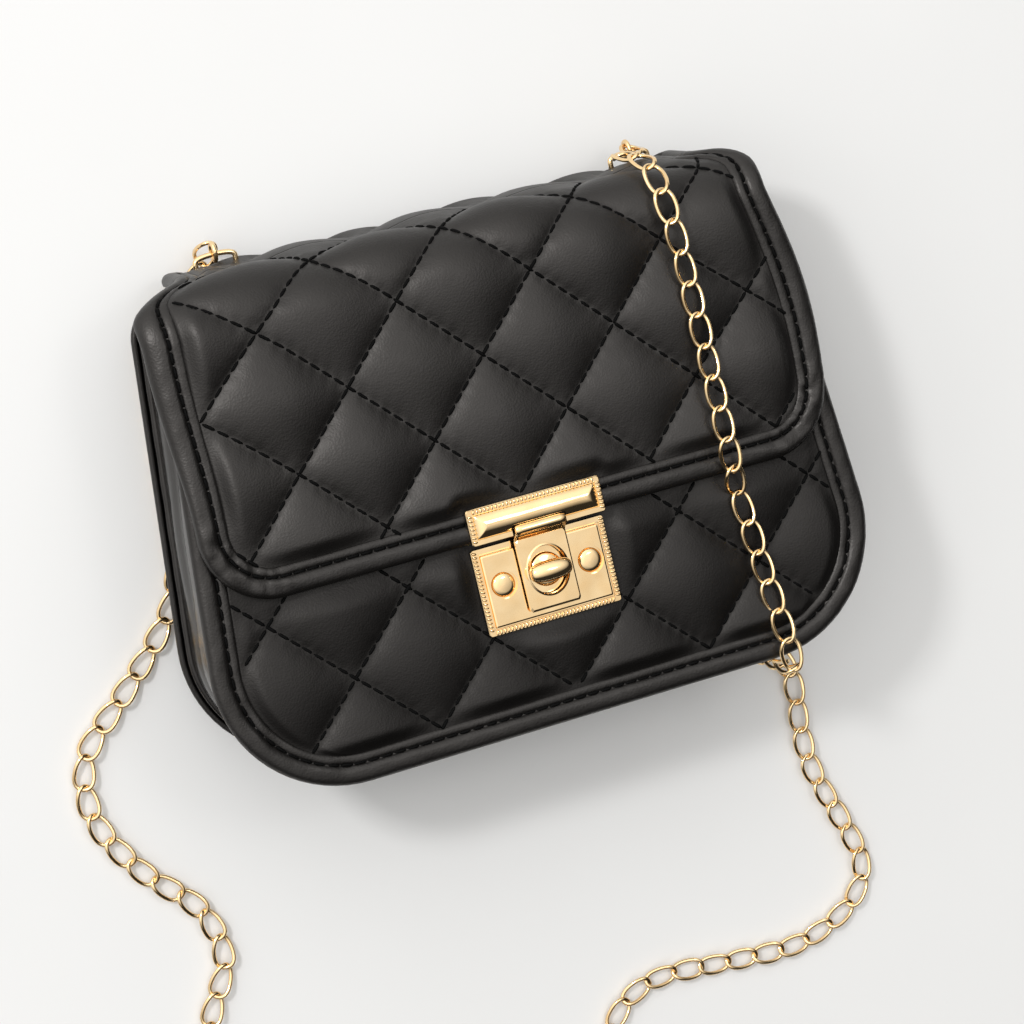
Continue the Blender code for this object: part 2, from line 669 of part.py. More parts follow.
def hasp_pieces(flap, plate_low):
    """The tab with its eyelet, which lies on the base plate, and the roll it hangs from."""
    low = GAP + PLATE_THICK + GAP
    profile = [(HASP_END_U, low), (HASP_FLAT_U, low), *((u, low + rise) for u, rise in HASP_SLOPE)]
    rows = [[Vector((side * HASP_HALF, u, h)) for side in (-1, 1)] for u, h in profile]
    tab = shell("hasp_tab", rows, HASP_THICK, (0, 0, 1), "gold", flap, FRONT)
    eyelet = ellipse(*EYELET_HALF, KNOB_U)
    drill([tab], "eyelet_hole", prism(eyelet, low - 0.001, low + 0.003), FRONT)
    centre = plate_low + HASP_ROLL_RADIUS
    ends = [Vector((side * HASP_HALF, HASP_ROLL_U, centre)) for side in (-1, 1)]
    tube("hasp_roll", ends, HASP_ROLL_RADIUS, "gold", flap, place=FRONT, sides=4)


# ---------------------------------------------------------------- strap


def strap_anchors(root, tail):
    """A wire bridge fixed through the flap's tail on each side, with a ring that hangs on it."""
    for side, name in ((-1, "left"), (1, "right")):
        x = side * ANCHOR_X
        tube("strap_bridge_" + name, bridge_route(x), BRIDGE_RADIUS, "gold", root, sides=3)
        for foot_side, foot in ((-1, "a"), (1, "b")):
            middle = Matrix.Translation((x + foot_side * BRIDGE_HALF, FLAP_END_Y, BRIDGE_Z))
            hole = round_hole((0, 0), BRIDGE_RADIUS + GAP, -0.004, 0.006)
            drill([tail], f"bridge_hole_{name}_{foot}", hole, middle @ Matrix.Rotation(math.pi / 2, 4, "X"))
        bpy.ops.mesh.primitive_torus_add(
            major_radius=RING_RADIUS, minor_radius=RING_WIRE, major_segments=24, minor_segments=8
        )
        ring = bpy.context.object
        mesh = ring.data
        bpy.data.objects.remove(ring, do_unlink=True)
        middle = Matrix.Translation((x, FLAP_END_Y + RING_OUT, BRIDGE_Z - RING_DROP))
        add_part("strap_ring_" + name, mesh, "gold", root, middle @ Matrix.Rotation(math.pi / 2, 4, "Y"))


def bridge_route(x):
    """From one foot inside the tail, out in a flattened arch and back to the other foot."""
    foot = FLAP_END_Y - LEATHER - 0.0006
    begin = FLAP_END_Y + BRIDGE_START
    steps = 6
    route = [Vector((x - BRIDGE_HALF, foot, BRIDGE_Z))]
    for step in range(steps + 1):
        angle = math.pi * step / steps
        y = begin + (BRIDGE_OUT - BRIDGE_START) * math.sin(angle) ** 0.5
        route.append(Vector((x - BRIDGE_HALF * math.cos(angle), y, BRIDGE_Z)))
    return route + [Vector((x + BRIDGE_HALF, foot, BRIDGE_Z))]


def smooth(points, count):
    """Evenly spaced places on a smooth curve through the route's points."""
    dense = []
    ends = [points[0] * 2 - points[1], *points, points[-1] * 2 - points[-2]]
    fine = 16
    for a, b, c, d in zip(ends, ends[1:], ends[2:], ends[3:]):
        for step in range(fine):
            t = step / fine
            cubic = (b * 3 - a - c * 3 + d) * t**3
            dense.append((b * 2 + (c - a) * t + (a * 2 - b * 5 + c * 4 - d) * t**2 + cubic) / 2)
    dense.append(points[-1])
    lengths = [0.0]
    for a, b in zip(dense, dense[1:]):
        lengths.append(lengths[-1] + (b - a).length)
    places = []
    index = 0
    for step in range(count):
        target = lengths[-1] * step / (count - 1)
        while index < len(dense) - 2 and lengths[index + 1] < target:
            index += 1
        share = (target - lengths[index]) / (lengths[index + 1] - lengths[index])
        places.append(dense[index].lerp(dense[index + 1], share))
    return places


def chain(root, flap, flap_top):
    top = [flap_point(x, s, CHAIN_LIFT) for x, s in ROUTE_TOP]
    over = [flap_point(x, s, CHAIN_LIFT) for x, s in ROUTE_FLAP]
    drop = [FRONT @ Vector((x, u, 0.0002 + CHAIN_LIFT)) for x, u in ROUTE_FRONT]
    drop += [Vector(point) for point in ROUTE_DROP]
    loop = [Vector(point) for point in ROUTE_FLOOR]
    routes = {
        "chain_top_right": (top, flap_top),
        "chain_over_flap": (over, flap),
        "chain_front_drop": (drop, root),
        "chain_loop": (loop, root),
    }
    for name, (route, pivot) in routes.items():
        tube(name, smooth(route, CHAIN_POINTS[name]), CHAIN_RADIUS, "gold", pivot)


def shade_round_pieces():
    for obj in PARTS.objects:
        if obj.type == "MESH":
            obj.data.shade_smooth()
            obj.data.set_sharp_from_angle(angle=math.radians(35))


def build_purse():
    root = new_empty("purse", Matrix.Identity(4))
    front = new_empty("front_plane", FRONT, root)
    back_fold = Matrix.Translation((0, FLAP_END_Y, BACK_FOLD_Z))
    flap_top = new_empty("back_fold_axis", back_fold, root)
    flap = new_empty("front_fold_axis", Matrix.Translation(flap_point(0, SPLIT_S)), flap_top)
    knob = new_empty("knob_axis", FRONT @ Matrix.Translation((0, KNOB_U, 0)), front)
    panel, foam, lining, lining_low = body_panels(root, front)
    body_gusset(root, front)
    leather, flap_inside = flap_pieces(flap, flap_top, root)
    tail = flap_tail(root)
    washer_low, collar_top = lock_body_side(front, [panel, foam, lining], lining_low)
    knob_pieces(knob, washer_low, collar_top)
    lock_flap_side(flap, leather, flap_inside)
    strap_anchors(root, tail)
    chain(root, flap, flap_top)
    shade_round_pieces()


clear_scene()
PARTS = new_collection("crossbody_purse")
CUTTERS = new_collection("cutters")
build_purse()
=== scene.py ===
import json
import math

import bmesh
import bpy
import numpy as np
from mathutils import Matrix, Vector


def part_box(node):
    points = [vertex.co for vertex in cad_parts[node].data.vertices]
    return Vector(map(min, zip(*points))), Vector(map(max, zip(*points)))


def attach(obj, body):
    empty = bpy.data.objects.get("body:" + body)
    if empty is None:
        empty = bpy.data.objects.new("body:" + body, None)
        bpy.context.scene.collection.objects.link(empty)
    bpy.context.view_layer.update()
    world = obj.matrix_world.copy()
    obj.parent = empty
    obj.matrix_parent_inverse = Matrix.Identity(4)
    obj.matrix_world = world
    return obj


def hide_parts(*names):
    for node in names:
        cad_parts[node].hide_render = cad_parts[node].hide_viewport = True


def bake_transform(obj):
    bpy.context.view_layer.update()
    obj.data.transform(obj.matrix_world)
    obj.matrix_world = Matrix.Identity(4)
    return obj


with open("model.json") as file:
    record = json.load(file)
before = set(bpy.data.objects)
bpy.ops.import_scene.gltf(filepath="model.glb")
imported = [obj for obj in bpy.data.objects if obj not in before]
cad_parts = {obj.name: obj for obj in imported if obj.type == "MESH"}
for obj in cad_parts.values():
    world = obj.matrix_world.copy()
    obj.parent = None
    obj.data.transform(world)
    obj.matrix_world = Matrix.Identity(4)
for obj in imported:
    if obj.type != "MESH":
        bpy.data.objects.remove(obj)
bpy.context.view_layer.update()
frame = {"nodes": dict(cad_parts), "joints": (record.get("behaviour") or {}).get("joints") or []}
NODES = frame["nodes"]
JOINTS = {joint["name"]: joint for joint in frame["joints"]}
RANDOM = np.random.default_rng(7)

# -------- sizes read from the frame

KNOB_AXIS = JOINTS["knob_turn"]["axis"]
KNOB_PLACE = JOINTS["knob_turn"]["pos_m"]
BACK_FOLD = JOINTS["flap_back_fold"]["pos_m"]
SLOPE = math.atan2(KNOB_AXIS[1], KNOB_AXIS[2])
COS, SIN = math.cos(SLOPE), math.sin(SLOPE)
KNOB_U = KNOB_PLACE[1] / COS
FRONT_Z = KNOB_PLACE[2] + KNOB_U * SIN
FLAP_END_Y = BACK_FOLD[1]
BOTTOM_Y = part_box("back_border")[0].y
BACK_TOP_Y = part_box("back_border")[1].y
WIDEST_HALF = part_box("back_border")[1].x

# -------- the design's own sizes, in metres
#
# x runs across the bag. u runs up its sloping front, and y up its back. s is u on the flat of the flap,
# and goes on round the bend and down the top end. h is a height off the surface.

# The body: half widths and the radii of its corners, and the back's edge that rolls up
TOP_HALF = 0.094
BOTTOM_CORNER = 0.038
BACK_TOP_CORNER = 0.012
FRONT_TOP_CORNER = 0.010
FRONT_TOP_U = 0.0580
EDGE_LIFT = 0.009
EDGE_ROLL = 0.030

# The flap
FLAP_HEIGHT = 0.0041
FLAP_THICK = 0.0036
FLAP_CORNER = 0.0208
FLAP_CORNER_X = 0.0757
FLAP_CORNER_U = 0.002
FLAP_TOP_HALF = 0.0915
BEND_RADIUS = 0.016

# The lock: half its width, the two plates from their low end to their high one, and the rivets
LOCK_HALF = 0.0206
FLAP_PLATE_U = (-0.0195, -0.0088)
BASE_PLATE_U = (-0.0467, -0.0208)
HASP_END_U = -0.0425
RIVET_PLACES = {"left": (-0.0132, -0.0327), "right": (0.0138, -0.0327)}

# The flap's bend, from the flat part (at BEND_U) to the top end
BEND_U = (FLAP_END_Y - BEND_RADIUS) / COS - (FLAP_HEIGHT - BEND_RADIUS) * SIN / COS
BEND_ANGLE = math.pi / 2 - SLOPE
BEND_LENGTH = BEND_ANGLE * BEND_RADIUS
BEND_Y = FLAP_END_Y - BEND_RADIUS
BEND_Z = FRONT_Z - BEND_U * SIN + (FLAP_HEIGHT - BEND_RADIUS) * COS
SPLIT_S = BEND_U + BEND_LENGTH / 2
END_S = BEND_U + BEND_LENGTH + BEND_Z - BACK_FOLD[2]
HEM_S = FLAP_CORNER_U - FLAP_CORNER

# The circles in a panel's right corners, top then bottom, as (x, y, radius)
BACK_CIRCLES = (
    (TOP_HALF - BACK_TOP_CORNER, BACK_TOP_Y - BACK_TOP_CORNER, BACK_TOP_CORNER),
    (WIDEST_HALF - BOTTOM_CORNER, BOTTOM_Y + BOTTOM_CORNER, BOTTOM_CORNER),
)
FRONT_CIRCLES = (
    (TOP_HALF - FRONT_TOP_CORNER, FRONT_TOP_U - FRONT_TOP_CORNER, FRONT_TOP_CORNER),
    BACK_CIRCLES[1],
)

# Quilting: a corner of the diamonds, then the steps to the ones beside it and above it
FLAP_LATTICE = ((-0.0026, -0.0081), (0.0202, -0.00035), (-0.0007, 0.0205))
BODY_LATTICE = ((0.0019, -0.0262), (0.0211, 0.0), (0.0, 0.0210))

# Stitches
STITCH = 0.0036
STITCH_GAP = 0.0004
STITCH_PITCH = STITCH + STITCH_GAP
THREAD = 0.00050
THREAD_ARCH = 0.00014

# Padding: how it rises beside a sewn line and towards a diamond's middle, and its small folds
PILLOW = 0.0033
CHANNEL_REACH = 0.0030
CHANNEL_SHARE = 0.34
DOME_REACH = 0.0146
DOME_SHARE = 0.70
UNEVEN = 0.16
PUCKER = 0.00010
PUCKER_REACH = 0.0020
WRINKLE = 0.00006
DRAG = 0.00008

# A quilted panel: how far inside the edge it starts, and how it sinks to that seam
QUILT_INSET = 0.0088
COVER_OVERLAP = 0.0004
SEAM_START = 0.0006
SEAM_EASE = 0.0050
LEATHER_BASE = -0.0010
THREAD_MARGIN = 0.0012

# The flap's spread past its cut width, and its tail over the top end
FLARE_START = 0.060
FLARE_REACH = 0.031
FLARE_LEFT = 0.0062
FLARE_LEFT_S = 0.064
FLARE_RIGHT = 0.0034
FLARE_RIGHT_S = 0.060
FLARE_DROOP = 0.55
TAIL_NARROWING = 0.112
TAIL_EASE = 0.020
TAIL_TAPER = 0.86
TAIL_CORNER = 0.91
TAIL_LENGTH = 0.0070
TAIL_LOW_Z = 0.0062
TAIL_TUCK = 0.0035

UPWARD = (0, 0, 1)
DOWNWARD = (0, 0, -1)

# How fine the meshes are: steps in a corner's arc, and along the left, bottom, right and top of an
# outline, then distances between rows, then columns, then points round a circle
ARC_STEPS = 18
STRAIGHT_STEPS = (46, 60, 46, 84)
EDGE_STEP = 0.0018
ROW_STEP = 0.0009
COVER_COLUMNS = 196
LINING_COLUMNS = 90
ROUND_STEPS = 48

# Lock and strap metal
RIB_PITCH = 0.00112
RIB_LENGTH = 0.0015
RIB_WIRE = 0.00038
RIB_ARCH = 0.00008
PLATE_CORNER = 0.0009
RIB_INSET = 0.0009
LOCK_SHARP = 40
HASP_HALF = 0.0078
BRIDGE_WIRE = 0.0008
BRIDGE_START = 0.0008
RING_WIRE = 0.0007

# Chain links: half lengths and widths of the oval, and how its wire twists
LINK_PITCH = 0.0093
LINK_LONG = 0.0052
LINK_WIDE = 0.0029
LINK_TWIST = 0.00072
LINK_WIRE = 0.00062
LINK_TAPER = 0.16
LINK_ROLL = 0.09
LINK_SECTIONS = 26
LINK_SIDES = 9

# The chain's route, from the right ring over the flap and the front, and round to the left ring:
# as (x, y, z), as (x, s) on the flap, as (x, u) on the front, and as (x, y) on the floor
CHAIN_HEIGHT = 0.0027
CHAIN_ON_FLAP = 0.0039
FLOOR_CHAIN_Z = 0.0020
ROUTE_COUNT = 1600
HEM_CROSSING = 0.0605
ROUTE_RING = [(0.0650, 0.0766, 0.0140), (0.0648, 0.0748, 0.0210)]
ROUTE_TOP = [(0.0640, 0.088), (0.0620, 0.080), (0.0595, 0.072)]
ROUTE_FLAP = [(0.0585, 0.061), (0.0595, 0.048), (0.0600, 0.030), (0.0603, 0.010), (HEM_CROSSING, -0.0135)]
ROUTE_FRONT = [
    (0.0620, -0.0235),
    (0.0631, -0.0330),
    (0.0643, -0.0460),
    (0.0657, -0.0590),
    (0.0670, -0.0700),
]
ROUTE_DROP_UP = [(0, -0.5, 1), (0, -1, 0.6), *[(0, -1, 0)] * 3, (0.2, -1, 0.6), (0.2, -0.5, 1)]
ROUTE_DROP = [
    (0.0673, -0.0765, 0.0610),
    (0.0676, -0.0802, 0.0592),
    (0.0677, -0.0812, 0.0540),
    (0.0678, -0.0812, 0.0300),
    (0.0680, -0.0816, 0.0110),
    (0.0690, -0.0830, 0.0050),
    (0.0722, -0.0852, 0.0024),
]
ROUTE_FLOOR = [
    (0.0835, -0.0900),
    (0.0888, -0.1000),
    (0.0883, -0.1190),
    (0.0898, -0.1333),
    (0.0961, -0.1514),
    (0.1003, -0.1680),
    (0.0930, -0.1800),
    (0.0740, -0.1872),
    (0.0510, -0.1858),
    (0.0240, -0.1832),
    (0.0092, -0.1903),
    (0.0025, -0.2060),
    (0.0060, -0.2300),
    (0.0045, -0.2560),
    (-0.0160, -0.2780),
    (-0.0500, -0.2850),
    (-0.0860, -0.2780),
    (-0.1130, -0.2550),
    (-0.1240, -0.2200),
    (-0.1230, -0.1840),
    (-0.1169, -0.1515),
    (-0.1082, -0.1340),
    (-0.1120, -0.1160),
    (-0.1260, -0.1000),
    (-0.1362, -0.0800),
    (-0.1340, -0.0610),
    (-0.1200, -0.0470),
    (-0.1060, -0.0330),
    (-0.0972, -0.0205),
    (-0.0936, -0.0060),
    (-0.0924, 0.0110),
    (-0.0906, 0.0290),
    (-0.0883, 0.0460),
    (-0.0850, 0.0570),
    (-0.0780, 0.0605),
    (-0.0715, 0.0645),
]
ROUTE_LAST = [(-0.0675, 0.0710, 0.0030), (-0.0655, 0.0762, 0.0070), (-0.0650, 0.0768, 0.0100)]


# -------- points and lines


def stack(x, y, z):
    """Points from their coordinates, which may be numbers or arrays."""
    x, y, z = np.broadcast_arrays(np.asarray(x, float), y, z)
    return np.stack((x, y, z), axis=-1)


def pair(a, b):
    """Flat places from their two coordinates."""
    return np.stack((a, b), 1)


def unit(vectors):
    """Vectors of length 1."""
    return vectors / np.linalg.norm(vectors, axis=-1, keepdims=True)


def full_turn(count):
    """Even angles round a circle."""
    return np.linspace(0, 2 * math.pi, count, endpoint=False)


def run_lengths(points):
    """The distance along a line of points to each of them."""
    return np.concatenate(([0], np.cumsum(np.linalg.norm(np.diff(points, axis=0), axis=1))))


def along_line(at, lengths, points):
    """Places at distances along a line of points."""
    return np.stack([np.interp(at, lengths, points[:, k]) for k in range(points.shape[1])], -1)


def ease(value, reach):
    """0 at or below nothing, 1 from reach on, smooth between."""
    t = np.clip(value / reach, 0, 1)
    return t * t * (3 - 2 * t)


def smooth(points, count):
    """Evenly spaced places on a smooth curve through points."""
    dense = []
    ends = [points[0] * 2 - points[1], *points, points[-1] * 2 - points[-2]]
    for a, b, c, d in zip(ends, ends[1:], ends[2:], ends[3:]):
        for step in range(16):
            t = step / 16
            cubic = (b * 3 - a - c * 3 + d) * t**3
            dense.append((b * 2 + (c - a) * t + (a * 2 - b * 5 + c * 4 - d) * t**2 + cubic) / 2)
    dense.append(points[-1])
    dense = np.array(dense)
    lengths = run_lengths(dense)
    return [Vector(along_line(at, lengths, dense)) for at in np.linspace(0, lengths[-1], count)]


def fine_profile(profile, count=34):
    """Evenly spaced places on a smooth curve through a profile's points."""
    points = [Vector((a, b, 0)) for a, b in profile]
    return np.array([(p.x, p.y) for p in smooth(points, count)])


# -------- places on the bag


def front(x, u, h):
    """A place on the sloping front: u runs up it, h is above the front panel."""
    u, h = np.asarray(u, float), np.asarray(h, float)
    return stack(x, u * COS + h * SIN, FRONT_Z - u * SIN + h * COS)


def back(x, y, h):
    """A place on the back: h is inside its outer face, which rolls up to its edges."""
    return stack(x, y, lift(inset_of(x, y)) + h)


def flare(x, s, h):
    """The soft flap spreads past its cut width: bowed on the right, wider and drooping on the left."""
    past = np.clip((np.abs(x) - FLARE_START) / FLARE_REACH, 0, 1.1)
    left = FLARE_LEFT * ease(s, FLARE_LEFT_S) * (1 - ease(s - BEND_U - BEND_LENGTH * 0.6, TAIL_EASE))
    right = FLARE_RIGHT * np.sin(math.pi * np.clip(s / FLARE_RIGHT_S, 0, 1))
    x = x + np.where(x < 0, -left, right) * past
    x = x * (1 - TAIL_NARROWING * ease(s - BEND_U - BEND_LENGTH * 0.5, TAIL_EASE))
    return x, h - np.where(x < 0, left, 0.4 * right) * FLARE_DROOP * past**4


def flap(x, s, h):
    """A place on the closed flap: s runs from the hem, round the bend and down the top end."""
    s, h = np.asarray(s, float), np.asarray(h, float)
    x, h = flare(np.asarray(x, float), s, h)
    angle = np.clip((s - BEND_U) / BEND_RADIUS, 0, BEND_ANGLE)
    below = np.maximum(0, s - BEND_U - BEND_LENGTH)
    flat = np.maximum(0, BEND_U - s)
    turn = SLOPE + angle
    y = BEND_Y + np.sin(turn) * (BEND_RADIUS + h) - flat * COS
    z = BEND_Z + np.cos(turn) * (BEND_RADIUS + h) - below + flat * SIN
    return stack(x, y, z)


def side_angle(circles):
    """Direction, from +X, of the normal of the straight right side that touches both corner circles."""
    (top_x, top_y, top_r), (low_x, low_y, low_r) = circles
    across, along = low_x - top_x, top_y - low_y
    length = math.hypot(across, along)
    return math.atan2(across, along) + math.asin((low_r - top_r) / length)


def half_width(circles, y, inset=0.0):
    """Half the width of an outline at y, drawn this far inside."""
    (top_x, top_y, top_r), (low_x, low_y, low_r) = circles
    y = np.asarray(y, float)
    angle = side_angle(circles)
    top_r, low_r = top_r - inset, low_r - inset
    a = (top_x + top_r * math.cos(angle), top_y + top_r * math.sin(angle))
    b = (low_x + low_r * math.cos(angle), low_y + low_r * math.sin(angle))
    straight = a[0] + (b[0] - a[0]) * (y - a[1]) / (b[1] - a[1])
    top = top_x + np.sqrt(np.maximum(0, top_r**2 - (y - top_y) ** 2))
    low = low_x + np.sqrt(np.maximum(0, low_r**2 - (y - low_y) ** 2))
    return np.where(y > a[1], top, np.where(y < b[1], low, straight))


def flap_half(s, inset=0.0):
    """Half the flap's cut width at s, drawn this far inside."""
    s = np.asarray(s, float)
    radius = FLAP_CORNER - inset
    corner = FLAP_CORNER_X + np.sqrt(np.maximum(0, radius**2 - (FLAP_CORNER_U - s) ** 2))
    share = np.clip((s - FLAP_CORNER_U) / (BEND_U - FLAP_CORNER_U), 0, 1)
    widest = FLAP_CORNER_X + FLAP_CORNER
    return np.where(s < FLAP_CORNER_U, corner, widest + (FLAP_TOP_HALF - widest) * share - inset)


def lift(inset):
    """How far the back's rolled edge rises off the floor."""
    return EDGE_LIFT * np.clip(1 - inset / EDGE_ROLL, 0, 1) ** 2


def inset_of(x, y):
    """How far inside the back's outline a place is."""
    x, y = np.abs(np.asarray(x, float)), np.asarray(y, float)
    (top_x, top_y, top_r), (low_x, low_y, low_r) = BACK_CIRCLES
    side = half_width(BACK_CIRCLES, np.clip(y, low_y, top_y)) - x
    ends = np.minimum(BACK_TOP_Y - y, y - BOTTOM_Y)
    low = low_r - np.hypot(x - low_x, y - low_y)
    top = top_r - np.hypot(x - top_x, y - top_y)
    inset = np.minimum(side, ends)
    inset = np.where((x > low_x) & (y < low_y), low, inset)
    return np.maximum(np.where((x > top_x) & (y > top_y), np.minimum(top, inset), inset), 0)


def outline(circles, inset):
    """Closed outline, anticlockwise from the top left corner, with the same count at any inset."""
    (top_x, top_y, top_r), (low_x, low_y, low_r) = circles
    angle = side_angle(circles)
    corners = [
        (-top_x, top_y, top_r, math.pi / 2, math.pi - angle),
        (-low_x, low_y, low_r, math.pi - angle, 1.5 * math.pi),
        (low_x, low_y, low_r, -math.pi / 2, angle),
        (top_x, top_y, top_r, angle, math.pi / 2),
    ]
    arcs = []
    for x, y, radius, start, end in corners:
        turn = np.linspace(start, end, ARC_STEPS + 1)
        arcs.append(pair(x + (radius - inset) * np.cos(turn), y + (radius - inset) * np.sin(turn)))
    points = []
    for arc, following, steps in zip(arcs, arcs[1:] + arcs[:1], STRAIGHT_STEPS):
        share = np.linspace(0, 1, steps + 1)[1:-1, None]
        points += [arc, arc[-1] * (1 - share) + following[0] * share]
    return np.concatenate(points)


def u_part(points):
    """The outline without its top edge: down the left, along the bottom and up the right."""
    half_arc = ARC_STEPS // 2
    return points[half_arc : len(points) - (STRAIGHT_STEPS[-1] - 1) - half_arc]


def flap_edge(inset, top_s):
    """The flap's edge from the top left, round the hem, to the top right, as (x, s)."""
    radius = FLAP_CORNER - inset
    sides = np.linspace(top_s, FLAP_CORNER_U, int((top_s - FLAP_CORNER_U) / EDGE_STEP))
    arc = np.linspace(0, math.pi / 2, 20)[1:]
    corner_x = FLAP_CORNER_X + radius * np.cos(arc)
    corner_s = FLAP_CORNER_U - radius * np.sin(arc)
    hem_x = np.linspace(FLAP_CORNER_X, 0, 44)[1:]
    x = np.concatenate((flap_half(sides, inset), corner_x, hem_x))
    s = np.concatenate((sides, corner_s, np.full(len(hem_x), corner_s[-1])))
    return np.concatenate((pair(-x, s), pair(x, s)[-2::-1]))


# -------- meshes


def new_object(name, points, faces, material):
    """A smoothly shaded object through points and faces."""
    mesh = bpy.data.meshes.new(name)
    mesh.from_pydata(points.reshape(-1, 3).tolist(), [], faces)
    mesh.materials.append(material)
    mesh.shade_smooth()
    obj = bpy.data.objects.new(name, mesh)
    bpy.context.scene.collection.objects.link(obj)
    return obj


def face_outward(mesh, weld=False, toward=None):
    """Turns faces outward. It can first weld doubles; an open shell faces toward a direction."""
    bm = bmesh.new()
    bm.from_mesh(mesh)
    if weld:
        bmesh.ops.remove_doubles(bm, verts=bm.verts, dist=1e-6)
    bmesh.ops.recalc_face_normals(bm, faces=bm.faces)
    if toward and sum((face.normal.dot(toward) for face in bm.faces), 0.0) < 0:
        bmesh.ops.reverse_faces(bm, faces=bm.faces)
    bm.to_mesh(mesh)
    bm.free()


def sharpen(mesh, angle):
    """Smooth shading that breaks at edges sharper than an angle in degrees."""
    mesh.shade_smooth()
    mesh.set_sharp_from_angle(angle=math.radians(angle))


def surface(name, grid, material, toward=None, around=False, along=False, thick=0.0):
    """A mesh through a grid of points. around closes its columns, along its rows, thick adds inside."""
    rows, columns = grid.shape[:2]
    index = np.arange(rows * columns).reshape(rows, columns)
    if around:
        index = np.concatenate((index, index[:, :1]), 1)
    if along:
        index = np.concatenate((index, index[:1]), 0)
    quads = np.stack((index[:-1, :-1], index[:-1, 1:], index[1:, 1:], index[1:, :-1]), -1).reshape(-1, 4)
    if toward is not None:
        a, b, c, d = grid.reshape(-1, 3)[quads[len(quads) // 2]]
        if np.cross(c - a, d - b) @ np.asarray(toward, float) < 0:
            quads = quads[:, ::-1]
    obj = new_object(name, grid, quads.tolist(), material)
    if thick:
        solidify = obj.modifiers.new("thickness", "SOLIDIFY")
        solidify.thickness = thick
        solidify.offset = -1
    return obj


def strokes_mesh(name, strokes, place, base, material, radius=THREAD, arch=THREAD_ARCH, sides=6):
    """Threads or beads on a surface, from flat (starts, ends). base is a height, or gives one."""
    starts, ends = strokes
    sections = np.linspace(0, 1, 6)
    flat = starts[:, None] + (ends - starts)[:, None] * sections[None, :, None]
    x, y = flat[..., 0], flat[..., 1]
    height = (base(x, y) if callable(base) else base) + arch * (1 - (2 * sections - 1) ** 4)
    centre = place(x, y, height)
    ahead = unit(ends - starts)
    tiny = 1e-4
    side = unit(place(x - ahead[:, 1:] * tiny, y + ahead[:, :1] * tiny, height) - centre)
    up = unit(place(x, y, height + tiny) - centre)
    thick = radius * np.sqrt(np.maximum(0.12, 1 - (2 * sections - 1) ** 6))
    return tubes_mesh(name, rings_round(centre, side, up, thick, sides), material)


def rings_round(centre, side, up, radius, count):
    """Rings of points round places, in the plane of a direction beside and one above each of them."""
    turn = full_turn(count)
    ring = side[..., None, :] * np.cos(turn)[:, None] + up[..., None, :] * np.sin(turn)[:, None]
    return centre[..., None, :] + ring * np.asarray(radius)[..., None, None]


def tubes_mesh(name, points, material, closed=False):
    """Many tubes in one mesh, from points[tube, section, side]. closed tubes are rings."""
    tubes, sections, sides = points.shape[:3]
    index = np.arange(tubes * sections * sides).reshape(tubes, sections, sides)
    turned = np.roll(index, -1, 2)
    quads = np.stack((index, turned, np.roll(turned, -1, 1), np.roll(index, -1, 1)), -1)
    if closed:
        faces = quads.reshape(-1, 4).tolist()
    else:
        faces = quads[:, :-1].reshape(-1, 4).tolist()
        faces += index[:, 0, ::-1].tolist() + index[:, -1].tolist()
    obj = new_object(name, points, faces, material)
    face_outward(obj.data)
    return obj


def label(nodes):
    """Hides the CAD nodes that the piece stands for, if there are any."""
    if nodes:
        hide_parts(*nodes)


def dress(obj, body, slot, *nodes):
    """The piece moves with a body."""
    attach(obj, body)
    label(nodes)


def bend_flap(obj, slot, *nodes):
    """The piece lies on the flap and its top strip: its transform is baked in and the CAD nodes it stands
    for are hidden. Places on each side of the front fold are worked out, but nothing uses them.
    """
    reach = BEND_LENGTH * 0.46
    start = flap(0, SPLIT_S + reach, -0.001)
    end = flap(0, SPLIT_S - reach, -0.001)
    tuple(start)
    tuple(end)
    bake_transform(obj)
    label(nodes)


def bend_tail(obj, slot, *nodes):
    """The piece lies below and above the back fold: its transform is baked in and the CAD nodes it stands
    for are hidden.
    """
    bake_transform(obj)
    label(nodes)


# -------- materials


